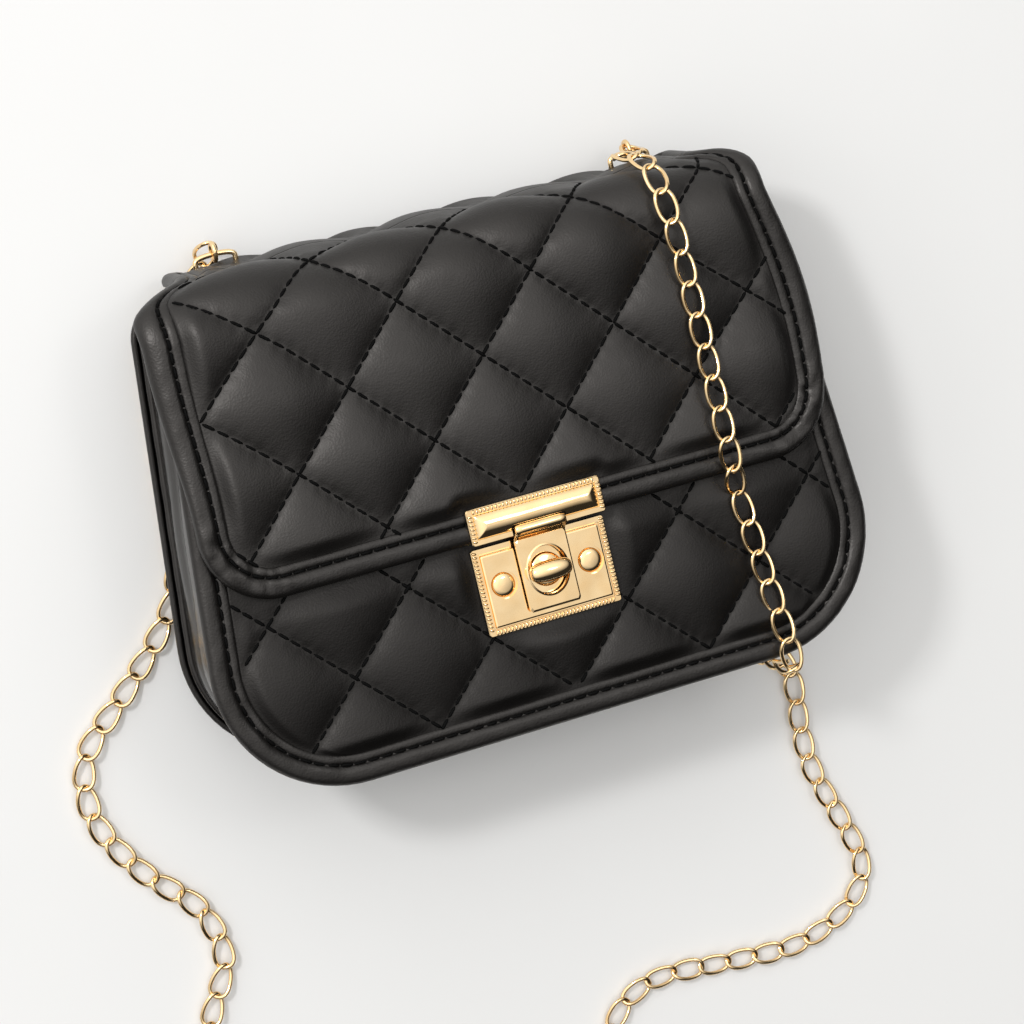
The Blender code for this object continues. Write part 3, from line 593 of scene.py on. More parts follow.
class Nodes:
    """A short way to add and join shader nodes in one material."""

    def __init__(self, name):
        self.material = bpy.data.materials.new(name)
        self.material.use_nodes = True
        self.tree = self.material.node_tree
        self.shader = self.tree.nodes["Principled BSDF"]

    def add(self, kind, **settings):
        node = self.tree.nodes.new(kind)
        for key, value in settings.items():
            if key in node.inputs:
                node.inputs[key].default_value = value
            else:
                setattr(node, key, value)
        return node

    def link(self, output, target):
        self.tree.links.new(output, target)

    def texture(self, kind, output, **settings):
        """A procedural texture in the object's own coordinates."""
        node = self.add(kind, **settings)
        self.link(self.add("ShaderNodeTexCoord").outputs["Object"], node.inputs["Vector"])
        return node.outputs[output]

    def noise(self, scale, detail=3.0, rough=0.5):
        return self.texture("ShaderNodeTexNoise", "Fac", Scale=scale, Detail=detail, Roughness=rough)

    def ramp(self, value, low, high, at=(0.0, 1.0)):
        node = self.add("ShaderNodeValToRGB")
        node.color_ramp.elements[0].position = at[0]
        node.color_ramp.elements[1].position = at[1]
        node.color_ramp.elements[0].color = (*low, 1)
        node.color_ramp.elements[1].color = (*high, 1)
        self.link(value, node.inputs["Fac"])
        return node.outputs["Color"]

    def span(self, value, low, high):
        node = self.add("ShaderNodeMapRange")
        node.inputs["To Min"].default_value = low
        node.inputs["To Max"].default_value = high
        self.link(value, node.inputs["Value"])
        return node.outputs["Result"]

    def bump(self, height, distance, strength=1.0, before=None):
        node = self.add("ShaderNodeBump", Strength=strength, Distance=distance)
        self.link(height, node.inputs["Height"])
        if before:
            self.link(before, node.inputs["Normal"])
        return node.outputs["Normal"]

    def done(self, colour=None, rough=None, normal=None, **constants):
        if colour:
            self.link(colour, self.shader.inputs["Base Color"])
        if rough:
            self.link(rough, self.shader.inputs["Roughness"])
        if normal:
            self.link(normal, self.shader.inputs["Normal"])
        for key, value in constants.items():
            self.shader.inputs[key.replace("_", " ")].default_value = value
        return self.material


def leather_material(name, shade, rough, grain, creases, gloss=0.5):
    """Black faux leather: fine pebbles, faint creases, slow unevenness in tone and shine."""
    m = Nodes(name)
    pebbles = m.texture("ShaderNodeTexVoronoi", "Distance", Scale=1800.0, feature="SMOOTH_F1")
    low = [shade, shade * 0.88, shade * 0.80]
    high = [shade * 1.5, shade * 1.33, shade * 1.24]
    colour = m.ramp(m.noise(38.0), low, high, (0.3, 0.7))
    normal = m.bump(pebbles, grain, 0.55)
    normal = m.bump(m.noise(900.0, 4.0, 0.6), grain * 0.5, 0.5, normal)
    normal = m.bump(m.noise(240.0, 3.0, 0.55), creases, 0.5, normal)
    shine = m.span(m.noise(220.0, 4.0), rough - 0.07, rough + 0.09)
    tint = (1.0, 0.95, 0.91, 1.0)
    return m.done(colour, shine, normal, Specular_IOR_Level=gloss, Specular_Tint=tint)


def thread_material():
    """Black twisted thread."""
    m = Nodes("black_thread")
    twist = m.texture("ShaderNodeTexWave", "Fac", Scale=900.0, Distortion=0.6)
    colour = m.ramp(twist, [0.0003] * 3, [0.0012, 0.0011, 0.0011])
    normal = m.bump(twist, 0.00008, 0.6)
    return m.done(colour, None, normal, Roughness=0.75, Specular_IOR_Level=0.10)


def lining_material():
    """Plain weave: two crossed sets of threads over a soft unevenness."""
    m = Nodes("lining_weave")
    joined = m.add("ShaderNodeMath", operation="MAXIMUM")
    for target, direction in enumerate("XY"):
        wave = {"Scale": 520.0, "Distortion": 0.3, "bands_direction": direction}
        m.link(m.texture("ShaderNodeTexWave", "Fac", **wave), joined.inputs[target])
    colour = m.ramp(m.noise(60.0), [0.016, 0.015, 0.0145], [0.030, 0.028, 0.027])
    normal = m.bump(joined.outputs["Value"], 0.00012, 0.5)
    return m.done(colour, None, normal, Roughness=0.78, Sheen_Weight=0.25)


def gold_material(name, rough, brush):
    """Pale gold plating: polished, with faint wear in its shine and tone."""
    m = Nodes(name)
    tone = m.ramp(m.noise(170.0, 3.0), [0.91, 0.63, 0.32], [0.97, 0.73, 0.42], (0.25, 0.75))
    shine = m.span(m.noise(900.0, 5.0, 0.7), rough - 0.05, rough + 0.06)
    normal = m.bump(m.noise(95.0, 1.0), 0.00045, 0.5)
    normal = m.bump(m.noise(1500.0, 2.0), brush, 0.35, normal)
    return m.done(tone, shine, normal, Metallic=1.0)


def steel_material():
    """Plain plating for the hidden parts of the lock."""
    m = Nodes("plain_steel_plating")
    tone = m.ramp(m.noise(300.0), [0.42, 0.42, 0.41], [0.58, 0.58, 0.57])
    shine = m.span(m.noise(800.0, 4.0), 0.28, 0.42)
    return m.done(tone, shine, m.bump(m.noise(1200.0), 0.00002, 0.4), Metallic=1.0)


def board_material():
    """Brown fibre board."""
    m = Nodes("fibre_board")
    tone = m.ramp(m.noise(700.0, 5.0, 0.7), [0.12, 0.085, 0.055], [0.24, 0.18, 0.12])
    return m.done(tone, None, m.bump(m.noise(1400.0), 0.00008, 0.6), Roughness=0.85)


LEATHER = leather_material("quilted_black_leather", 0.0030, 0.46, 0.00010, 0.00006)
# The front's leather is the flap's leather with a darker colour and a weaker shine: painted shade on the
# front below the flap
SHADED_FRONT_LEATHER = leather_material("front_quilted_leather_painted_shade", 0.0022, 0.47, 0.00010, 0.00006, gloss=0.34)
BORDER_LEATHER = leather_material("folded_black_leather", 0.0034, 0.40, 0.00010, 0.00026)
GLOSS_LEATHER = leather_material("smooth_black_leather", 0.0050, 0.22, 0.00004, 0.00020)
THREAD_BLACK = thread_material()
LINING = lining_material()
GOLD = gold_material("polished_pale_gold", 0.10, 0.00001)
STEEL = steel_material()


# -------- camera and light

CAMERA_DEGREES = (16.5, 12.0, 12.1)
CAMERA_DISTANCE = 0.85
CAMERA_TARGET = (-0.0052, -0.0134, 0.052)
CAMERA_LENS = 104.1
BRIGHT_SIDE = (-0.36, 0.58, 0.73)
SKY = {"From Min": 0.12, "To Min": 0.03, "To Max": 1.90}


def camera():
    """The view leans to the bag's left and a little past its top end, and is rolled."""
    yaw, rise, roll = (math.radians(angle) for angle in CAMERA_DEGREES)
    away = Vector((-math.sin(yaw) * math.cos(rise), math.sin(rise), math.cos(yaw) * math.cos(rise)))
    right = (-away).cross(Vector((0, 1, 0))).normalized()
    up = right.cross(-away)
    axes = Matrix((right, up, away)).transposed() @ Matrix.Rotation(-roll, 3, "Z")
    data = bpy.data.cameras.new("camera")
    data.lens = CAMERA_LENS
    data.sensor_width = 36
    data.clip_start = 0.01
    obj = bpy.data.objects.new("camera", data)
    place = Vector(CAMERA_TARGET) + away * CAMERA_DISTANCE
    obj.matrix_world = Matrix.Translation(place) @ axes.to_4x4()
    bpy.context.scene.collection.objects.link(obj)
    bpy.context.scene.camera = obj


def studio():
    """A world that is bright from one side and dark from the other, a key light and a weak panel."""
    world = bpy.data.worlds.new("studio")
    world.use_nodes = True
    tree = world.node_tree
    toward = tree.nodes.new("ShaderNodeVectorMath")
    toward.operation = "DOT_PRODUCT"
    toward.inputs[1].default_value = Vector(BRIGHT_SIDE).normalized()
    tree.links.new(tree.nodes.new("ShaderNodeTexCoord").outputs["Generated"], toward.inputs[0])
    strength = tree.nodes.new("ShaderNodeMapRange")
    for name, value in SKY.items():
        strength.inputs[name].default_value = value
    background = tree.nodes["Background"].inputs
    tree.links.new(toward.outputs["Value"], strength.inputs["Value"])
    tree.links.new(strength.outputs["Result"], background["Strength"])
    background["Color"].default_value = (1.0, 0.995, 0.985, 1)
    bpy.context.scene.world = world
    bpy.context.scene.view_settings.view_transform = "Standard"
    add_light("key", (-0.80, 0.68, 1.06), (0, -0.01, 0.03), 0.17, 8.6)
    add_light("panel", (0.27, 0.28, 1.02), (0, -0.01, 0.06), 0.20, 0.6)


def add_light(name, place, target, size, power):
    """A square area light that points at a target."""
    data = bpy.data.lights.new(name, "AREA")
    data.shape = "SQUARE"
    data.size = size
    data.energy = power
    light = bpy.data.objects.new(name, data)
    light.location = place
    light.rotation_euler = (Vector(target) - Vector(place)).to_track_quat("-Z", "Y").to_euler()
    bpy.context.scene.collection.objects.link(light)


def floor():
    """The pale surface under the bag, which belongs to the stage."""
    m = Nodes("pale_floor")
    tone = m.ramp(m.noise(14.0, 2.0), [0.735, 0.733, 0.725], [0.762, 0.760, 0.752])
    material = m.done(tone, None, m.bump(m.noise(420.0, 3.0), 0.0001, 0.15), Roughness=0.75)
    bpy.ops.mesh.primitive_plane_add(size=4.0, location=(0, 0, -0.0002))
    obj = bpy.context.object
    obj.name = "floor"
    obj.data.materials.append(material)


# -------- quilting


def lattice_counts(x, s, lattice):
    """How many quilting lines of each family lie between the lattice's corner and a place."""
    (corner_x, corner_s), (ax, ay), (bx, by) = lattice
    area = ax * by - bx * ay
    across = ((x - corner_x) * by - (s - corner_s) * bx) / area
    along = ((s - corner_s) * ax - (x - corner_x) * ay) / area
    return (across + along) / 2, (across - along) / 2


def lattice_spacing(lattice):
    """Distances between neighbouring quilting lines of each family."""
    _, (ax, ay), (bx, by) = lattice
    area = 2 * abs(ax * by - bx * ay)
    return area / math.hypot(ax - bx, ay - by), area / math.hypot(ax + bx, ay + by)


def quilt(x, s, lattice, height=PILLOW):
    """Height of the padding between the sewn lines, with small puckers at the stitches."""
    first, second = lattice_counts(x, s, lattice)
    first_gap, second_gap = lattice_spacing(lattice)
    a = np.abs(first - np.round(first)) * first_gap
    b = np.abs(second - np.round(second)) * second_gap
    cell = np.floor(first) * 12.9898 + np.floor(second) * 78.233
    uneven = 1 + UNEVEN * np.sin(cell * 3.7)
    full = (1 - np.exp(-a / CHANNEL_REACH)) * (1 - np.exp(-b / CHANNEL_REACH))
    dome = np.sin(math.pi * np.clip(a / DOME_REACH, 0, 1) / 2)
    dome = dome * np.sin(math.pi * np.clip(b / DOME_REACH, 0, 1) / 2)
    level = height * uneven * (CHANNEL_SHARE * full + DOME_SHARE * dome)
    pucker = puckers(second * second_gap, first, a) + puckers(first * first_gap, second, b)
    wrinkle = np.sin(x * 410 + 2.1 * np.sin(s * 190)) * np.sin(s * 370 + 1.7 * np.sin(x * 230))
    drag = np.sin(x * 160 + 3 * np.sin(s * 95)) * np.sin(s * 210 + 2 * np.sin(x * 120) + cell)
    sides = np.exp(-np.minimum(a, b) / 0.005)
    return level + PUCKER * pucker + (WRINKLE * wrinkle + DRAG * drag) * sides


def puckers(along, line, away):
    """A ripple at the stitches of a quilting line that fades away from it."""
    return np.cos(2 * math.pi * along / STITCH_PITCH + 3 * np.sin(line * 5)) * np.exp(-away / PUCKER_REACH)


def outside_box(x, u, half_x, low, high):
    """How far a place is outside a box on the front."""
    across = np.maximum(np.abs(x) - half_x, 0)
    along = np.maximum(np.maximum(low - u, u - high), 0)
    return np.hypot(across, along)


def quilt_strokes(inside, lattice):
    """Flat starts and ends of the stitches on the quilting lines of a panel."""
    starts, ends = [], []
    corner, side, up = (np.array(part) for part in lattice)
    steps = np.arange(-80, 81)[:, None] * STITCH_PITCH
    for sign in (1, -1):
        along = unit(side - sign * up)
        for count in range(-6, 7):
            origin = corner + (side + sign * up) * count
            begin = origin + along * steps
            finish = begin + along * STITCH
            middle = (begin + finish) / 2
            kept = inside(middle[:, 0], middle[:, 1])
            starts.append(begin[kept])
            ends.append(finish[kept])
    return np.concatenate(starts), np.concatenate(ends)


def path_strokes(points, closed=False):
    """Flat starts and ends of stitches of even length along a line of flat points."""
    if closed:
        points = np.concatenate((points, points[:1]))
    lengths = run_lengths(points)
    begin = np.arange(0.0, lengths[-1] - STITCH_PITCH, STITCH_PITCH)
    return along_line(begin, lengths, points), along_line(begin + STITCH, lengths, points)


# -------- flap

FLAP_SEAM_S = END_S - 0.009


def flap_surface(x, s):
    """Height of the flap's leather over its nominal face."""
    edge = flap_half(s, QUILT_INSET) - np.abs(x)
    hem = s - (HEM_S + QUILT_INSET)
    near = ease(np.minimum(edge, hem) + SEAM_START, SEAM_EASE)
    plate = ease(outside_box(x, s, LOCK_HALF, -0.03, FLAP_PLATE_U[1]), 0.006)
    soft = 1 - 0.35 * ease(s - BEND_U, BEND_LENGTH)
    wave = 0.0004 * np.sin(x * 62 + 0.6) * ease(s - 0.02, 0.05)
    return LEATHER_BASE + quilt(x, s, FLAP_LATTICE) * near * soft * (0.15 + 0.85 * plate) + wave


def flap_rows():
    """Rows of the flap's cover, close together where its corners turn."""
    turn = np.linspace(0, math.pi / 2, 16)
    corner = FLAP_CORNER_U - (FLAP_CORNER - QUILT_INSET) * np.cos(turn)
    straight = np.arange(FLAP_CORNER_U + ROW_STEP, FLAP_SEAM_S, ROW_STEP)
    return np.concatenate((corner, straight, [FLAP_SEAM_S]))


def flap_cover():
    """The flap's quilted leather and its stitches."""
    s = flap_rows()
    x = flap_half(s, QUILT_INSET - COVER_OVERLAP)[:, None] * np.linspace(-1, 1, COVER_COLUMNS)
    s = s[:, None] + 0 * x
    grid = flap(x, s, flap_surface(x, s))
    cover = surface("flap_quilted_cover", grid, LEATHER, UPWARD, thick=0.0010)
    bend_flap(cover, "quilted_leather", "flap_leather", "flap_top_leather")
    strokes = quilt_strokes(in_flap_quilting, FLAP_LATTICE)
    thread = strokes_mesh("flap_quilting_thread", strokes, flap, flap_surface, THREAD_BLACK)
    bend_flap(thread, "quilted_leather")


def in_flap_quilting(x, s):
    """Whether a stitch at a place is on the flap's quilted part and clear of its lock plate."""
    side = flap_half(s, QUILT_INSET - 0.001) - np.abs(x)
    hem = s - HEM_S - QUILT_INSET + 0.001
    clear = outside_box(x, s, LOCK_HALF - 0.001, -0.03, FLAP_PLATE_U[1] - 0.0005) > 0
    return (np.minimum(side, hem) > THREAD_MARGIN) & (s < FLAP_SEAM_S - 0.001) & clear


# A folded border: the stitched valley, its profile as (inset, height), and how uneven it is
VALLEY = 0.0060
GATHER = 0.00024
CREASE = 0.00030
WAVE = 0.00011
SLANT = 0.00016
BORDER_THICK = 0.0006
EDGE_PROFILE = [
    (0.0010, -0.0034),
    (0.0003, -0.0030),
    (0.0000, -0.0021),
    (0.0002, -0.0011),
    (0.0008, -0.0003),
    (0.0017, 0.0002),
    (0.0030, 0.0004),
    (0.0043, 0.0003),
    (0.0052, -0.0001),
    (0.0057, -0.0007),
    (VALLEY, -0.0010),
    (0.0063, -0.0007),
    (0.0068, -0.0004),
    (0.0077, -0.0004),
    (0.0084, -0.0006),
    (0.0088, -0.0010),
    (0.0091, -0.0014),
]


def sewn_border(edge_at, place, profile):
    """Rows across a folded border: gathered along its stitches and creased round its corners."""
    edge = edge_at(VALLEY)
    steps = np.diff(edge, axis=0)
    along = run_lengths(edge)
    heading = np.unwrap(np.arctan2(steps[:, 1], steps[:, 0]))
    turning = np.interp(along, along[1:-1], np.abs(np.diff(heading)) / np.diff(along)[1:]) * 0.02
    turning = np.clip(np.convolve(turning, np.ones(9) / 9, "same"), 0, 1)
    gathers = np.cos(2 * math.pi * along / STITCH_PITCH) * (1 + 0.5 * np.sin(along * 290))
    creases = np.sin(along * 1350 + 2 * np.sin(along * 410)) * turning
    waves = np.sin(along * 173) + 0.7 * np.sin(along * 71 + 1.1)
    rows = []
    for inset, height in profile:
        x, y = edge_at(inset).T
        near = math.exp(-(((inset - VALLEY) / 0.0019) ** 2))
        upper = np.clip(height / 0.002 + 1, 0, 1)
        slant = np.sin(along * 520 + inset * 900 + 2.4 * np.sin(along * 130)) * (0.35 + turning)
        move = GATHER * gathers * near + (CREASE * creases + WAVE * waves + SLANT * slant) * upper
        rows.append(place(x, y, height + move))
    return np.array(rows)


def flap_border():
    """The folded border round the flap, and its stitches."""
    rows = sewn_border(lambda inset: flap_edge(inset, FLAP_SEAM_S), flap, fine_profile(EDGE_PROFILE))
    border = surface("flap_folded_border", rows, BORDER_LEATHER, thick=BORDER_THICK)
    face_outward(border.data, toward=UPWARD)
    bend_flap(border, "quilted_leather", "flap_border", "flap_top_border_left", "flap_top_border_right")
    strokes = path_strokes(flap_edge(VALLEY, FLAP_SEAM_S - 0.002))
    bend_flap(strokes_mesh("flap_border_thread", strokes, flap, -0.0008, THREAD_BLACK), "quilted_leather")


def flap_inside():
    """The flap's lining, with soft ripples."""
    lower = np.linspace(HEM_S + 0.003, BEND_U, 60)
    s = np.concatenate((lower, np.linspace(BEND_U, FLAP_SEAM_S + 0.004, 26)[1:]))
    x = flap_half(s, 0.0022)[:, None] * np.linspace(-1, 1, LINING_COLUMNS)
    s = s[:, None] + 0 * x
    ripple = 0.00012 * np.sin(x * 95 + 3 * s) * np.sin(s * 130)
    plate = ease(outside_box(x, s, 0.017, -0.012, -0.005), 0.003)
    grid = flap(x, s, -FLAP_THICK + 0.0002 + ripple * plate)
    obj = surface("flap_inner_lining", grid, LINING, DOWNWARD, thick=0.0006)
    bend_flap(obj, "lining_cloth", "flap_lining", "flap_top_lining")


def tail_curve(last, height, turn):
    """The leather's way from the end of the flap's top, round and down to the back's edge."""
    corner = stack(last[..., 0] * TAIL_CORNER, FLAP_END_Y - 0.0008 + height, TAIL_LOW_Z - height)
    low = stack(last[..., 0] * TAIL_TAPER, BACK_TOP_Y - TAIL_TUCK, TAIL_LOW_Z - height)
    return (1 - turn) ** 2 * last + 2 * turn * (1 - turn) * corner + turn**2 * low


def flap_tail_cover():
    """Leather from the back panel's edge up past the back fold, under the flap's cover."""
    rows = tail_rows()
    half = FLAP_TOP_HALF - QUILT_INSET + COVER_OVERLAP
    x = half * np.linspace(-1, 1, COVER_COLUMNS)[None, :] + 0 * rows[:, None]
    s = rows[:, None] + 0 * x
    upper = flap(x, s, flap_surface(x, s))
    turn = np.linspace(0, 1, 14)[1:, None, None]
    grid = np.concatenate((upper, tail_curve(upper[-1], 0, turn)))
    cover = surface("flap_tail_cover", grid, LEATHER, (0, 1, 0), thick=0.0010)
    bend_tail(cover, "quilted_leather", "flap_tail")
    tail_border("left", -1)
    tail_border("right", 1)


def tail_rows():
    """Rows of the tail, from the flap's seam to where it turns down to the back."""
    return np.linspace(FLAP_SEAM_S, END_S + TAIL_LENGTH, 18)


def tail_border(name, side):
    """The folded border along one side of the tail."""
    s = tail_rows()
    turn = np.linspace(0, 1, 10)[1:, None]
    rows = []
    for inset, height in fine_profile(EDGE_PROFILE):
        upper = flap(side * (FLAP_TOP_HALF - inset) + 0 * s, s, height)
        rows.append(np.concatenate((upper, tail_curve(upper[-1], height, turn))))
    obj = surface("flap_tail_border_" + name, np.array(rows), BORDER_LEATHER, thick=BORDER_THICK)
    face_outward(obj.data, toward=(0, 1, 0))
    bend_tail(obj, "quilted_leather")


# -------- body

BACK_SINK = 0.0014
BACK_PILLOW = 0.0024
BACK_EDGE_PROFILE = [
    (0.0016, 0.0040),
    (0.0004, 0.0032),
    (0.0, 0.0018),
    (0.0004, 0.0006),
    (0.0014, -0.0001),
    (0.0030, -0.0003),
    (0.0046, -0.0001),
    (0.0056, 0.0006),
    (0.0062, 0.0009),
    (0.0070, 0.0002),
    (0.0080, 0.0002),
    (0.0088, 0.0010),
    (0.0092, 0.0017),
]
GUSSET_LOW_Z = 0.0110
GUSSET_HIGH = -0.0042
BAG_MIDDLE = np.array((0.0, -0.01))
PIPING_INSET = 0.0032
PIPING_RADIUS = 0.00125
PIPING_UNEVEN = 0.00006


def front_surface(x, u):
    """Height of the front's leather: full pillows below the flap, pressed flat under it."""
    edge = half_width(FRONT_CIRCLES, u, QUILT_INSET) - np.abs(x)
    ends = np.minimum(u - BOTTOM_Y, FRONT_TOP_U - u) - QUILT_INSET
    near = ease(np.minimum(edge, ends) + SEAM_START, SEAM_EASE)
    plate = ease(outside_box(x, u, LOCK_HALF, *BASE_PLATE_U), 0.007)
    free = 0.28 + 0.72 * ease(-0.0185 - u, 0.009)
    return LEATHER_BASE + quilt(x, u, BODY_LATTICE) * near * free * (0.22 + 0.78 * plate)


def panel_rows(circles, inset, high):
    """Rows of a panel, close together where its bottom corners turn."""
    _, low_y, low_r = circles[1]
    turn = np.linspace(0, math.pi / 2, 36)
    corner = low_y - (low_r - inset) * np.cos(turn)
    return np.concatenate((corner, np.arange(low_y + ROW_STEP, high, ROW_STEP)))


def panel_grid(circles, inset, high, columns=206):
    """Places across a panel, row by row, as far inside its outline as asked."""
    y = panel_rows(circles, inset, high)
    x = half_width(circles, y, inset)[:, None] * np.linspace(-1, 1, columns)
    return x, y[:, None] + 0 * x


def front_cover():
    """The front's quilted leather and its stitches."""
    x, u = panel_grid(FRONT_CIRCLES, QUILT_INSET - COVER_OVERLAP, FRONT_TOP_U - QUILT_INSET)
    grid = front(x, u, front_surface(x, u))
    # The front's leather carries painted shade: darker and less shiny than the same leather on the flap
    cover = surface("front_quilted_cover", grid, SHADED_FRONT_LEATHER, UPWARD, thick=0.0008)
    dress(cover, "purse_body", "quilted_leather", "front_panel", "front_foam")
    strokes = quilt_strokes(in_front_quilting, BODY_LATTICE)
    thread = strokes_mesh("front_quilting_thread", strokes, front, front_surface, THREAD_BLACK)
    dress(thread, "purse_body", "quilted_leather")


def in_front_quilting(x, u):
    """Whether a stitch at a place is on the front's quilted part and clear of the lower lock plate."""
    x = np.abs(x)
    low_x, low_y, low_r = FRONT_CIRCLES[1]
    room = half_width(FRONT_CIRCLES, u, QUILT_INSET - 0.001) - x
    ends = np.minimum(u - BOTTOM_Y, FRONT_TOP_U - u) - QUILT_INSET + 0.001
    round_room = low_r - QUILT_INSET + 0.001 - np.hypot(x - low_x, u - low_y)
    room = np.where((x > low_x) & (u < low_y), np.minimum(room, round_room), room)
    clear = outside_box(x, u, LOCK_HALF - 0.001, BASE_PLATE_U[0], -0.0190) > 0
    return (np.minimum(room, ends) > THREAD_MARGIN) & clear


def back_surface(x, y):
    """How far inside the back's outer face its leather is: pillows touch the table, lines are drawn in."""
    near = ease(inset_of(x, y) - QUILT_INSET + 0.001, 0.008)
    return BACK_SINK - np.minimum(quilt(x, y, BODY_LATTICE, BACK_PILLOW) * near, BACK_SINK)


def under_back(x, y, h):
    """A place on the back whose height is counted outward, like the front's."""
    return back(x, y, -h)


def back_cover():
    """The back's quilted leather and its stitches."""
    x, y = panel_grid(BACK_CIRCLES, QUILT_INSET - COVER_OVERLAP, BACK_TOP_Y - 0.0030)
    cover = surface("back_quilted_cover", back(x, y, back_surface(x, y)), LEATHER, DOWNWARD, thick=0.0010)
    dress(cover, "purse_body", "quilted_leather", "back_panel")
    strokes = quilt_strokes(in_back_quilting, BODY_LATTICE)
    thread = strokes_mesh("back_quilting_thread", strokes, under_back, back_thread_height, THREAD_BLACK)
    dress(thread, "purse_body", "quilted_leather")


def back_thread_height(x, y):
    """Height of the stitches on the back, counted outward."""
    return -back_surface(x, y)


def in_back_quilting(x, y):
    """Whether a stitch at a place is on the back's quilted part."""
    return (inset_of(x, y) > QUILT_INSET + 0.002) & (y < BACK_TOP_Y - 0.011)


def body_border(side, rows, facing, circles, place, thread_height):
    """A panel's folded border all round, and the stitches in its valley."""
    border = surface(side + "_folded_border", rows, BORDER_LEATHER, around=True, thick=BORDER_THICK)
    face_outward(border.data, toward=facing)
    dress(border, "purse_body", "quilted_leather", side + "_border")
    strokes = path_strokes(outline(circles, VALLEY), closed=True)
    thread = strokes_mesh(side + "_border_thread", strokes, place, thread_height, THREAD_BLACK)
    dress(thread, "purse_body", "quilted_leather")


def front_border():
    """The front's border, gathered along its stitches."""
    profile = [(0.0014, -0.0040), (0.0004, -0.0032), *((a, b - 0.0001) for a, b in EDGE_PROFILE[2:])]
    rows = sewn_border(lambda inset: outline(FRONT_CIRCLES, inset), front, fine_profile(profile))
    body_border("front", rows, UPWARD, FRONT_CIRCLES, front, -0.0010)


def back_border():
    """The back's border, which rolls up with the back's edge."""
    rows = []
    for inset, height in fine_profile(BACK_EDGE_PROFILE, 30):
        rows.append(stack(*outline(BACK_CIRCLES, inset).T, lift(inset) + height))
    body_border("back", np.array(rows), DOWNWARD, BACK_CIRCLES, under_back, -0.0008)


def gusset_grid(inset, sink, fold):
    """Rows between the back's and the front's U-shaped edges, sunk and folded in the middle."""
    shares = np.linspace(0, 1, 26)
    rows = []
    for share in shares:
        deep = inset + sink * (4 * share * (1 - share)) ** 0.8
        low = stack(*u_part(outline(BACK_CIRCLES, deep)).T, GUSSET_LOW_Z)
        high = front(*u_part(outline(FRONT_CIRCLES, deep)).T, GUSSET_HIGH)
        rows.append(low * (1 - share) + high * share)
    grid = np.array(rows)
    inward = -unit(grid[:, :, :2] - BAG_MIDDLE)
    length = run_lengths(grid[0])
    shares = shares[:, None]
    middle = 4 * shares * (1 - shares)
    first = np.sin(length * 150 + 5 * shares) * 0.5
    second = np.sin(length * 67 + 1.3 - 4 * shares)
    crease = 0.0016 * np.exp(-(((shares - 0.42) / 0.10) ** 2))
    grid[:, :, :2] += inward * (fold * middle * (first + second) + crease)[..., None]
    return grid


def gusset():
    """The strip round the sides and bottom, its lining, and the piping in its two seams."""
    panel = surface("gusset_side_panel", gusset_grid(0.0036, -0.0010, 0.0005), GLOSS_LEATHER, thick=0.0012)
    face_away(panel.data, 1)
    dress(panel, "purse_body", "gloss_leather", "gusset")
    inner = surface("gusset_inner_lining", gusset_grid(0.0072, 0.0022, 0.0004), LINING, thick=0.0006)
    face_away(inner.data, -1)
    dress(inner, "purse_body", "lining_cloth", "gusset_lining")
    piping("front_piping_cord", front, FRONT_CIRCLES, -0.0047, "front_piping")
    piping("back_piping_cord", stack, BACK_CIRCLES, 0.0128, "back_piping")


def face_away(mesh, sign):
    """Faces of a wall round the bag point away from its middle, or toward it."""
    total = 0.0
    for polygon in mesh.polygons:
        total += polygon.normal.dot((polygon.center.x, polygon.center.y - BAG_MIDDLE[1], 0))
    if total * sign < 0:
        mesh.flip_normals()


def piping(name, place, circles, height, node):
    """A slightly uneven cord in the seam between a panel and the gusset."""
    x, y = u_part(outline(circles, PIPING_INSET)).T
    points = place(x, y, height)
    radius = PIPING_RADIUS + PIPING_UNEVEN * np.sin(np.arange(len(points)) * 0.9)
    away = unit(stack(x, y - BAG_MIDDLE[1], 0))
    tangent = unit(np.gradient(points, axis=0))
    up = unit(np.cross(tangent, away))
    rings = rings_round(points, np.cross(up, tangent), up, radius, 12)
    dress(tubes_mesh(name, rings[None], GLOSS_LEATHER), "purse_body", "gloss_leather", node)


def linings():
    """The front's and the back's lining, and the pocket."""
    x, u = panel_grid(FRONT_CIRCLES, 0.0090, FRONT_TOP_U - 0.0088, LINING_COLUMNS)
    ripple = 0.0003 * np.sin(x * 70 + u * 40) * np.sin(u * 90)
    obj = surface("front_inner_lining", front(x, u, -0.0050 + ripple), LINING, DOWNWARD, thick=0.0005)
    dress(obj, "purse_body", "lining_cloth", "front_lining")
    x, y = panel_grid(BACK_CIRCLES, 0.0090, BACK_TOP_Y - 0.0088, LINING_COLUMNS)
    ripple = 0.0002 * np.sin(x * 55 - y * 48) * np.sin(y * 80)
    obj = surface("back_inner_lining", back(x, y, 0.0040 + ripple), LINING, UPWARD, thick=0.0005)
    dress(obj, "purse_body", "lining_cloth", "back_lining")
    slip_pocket()


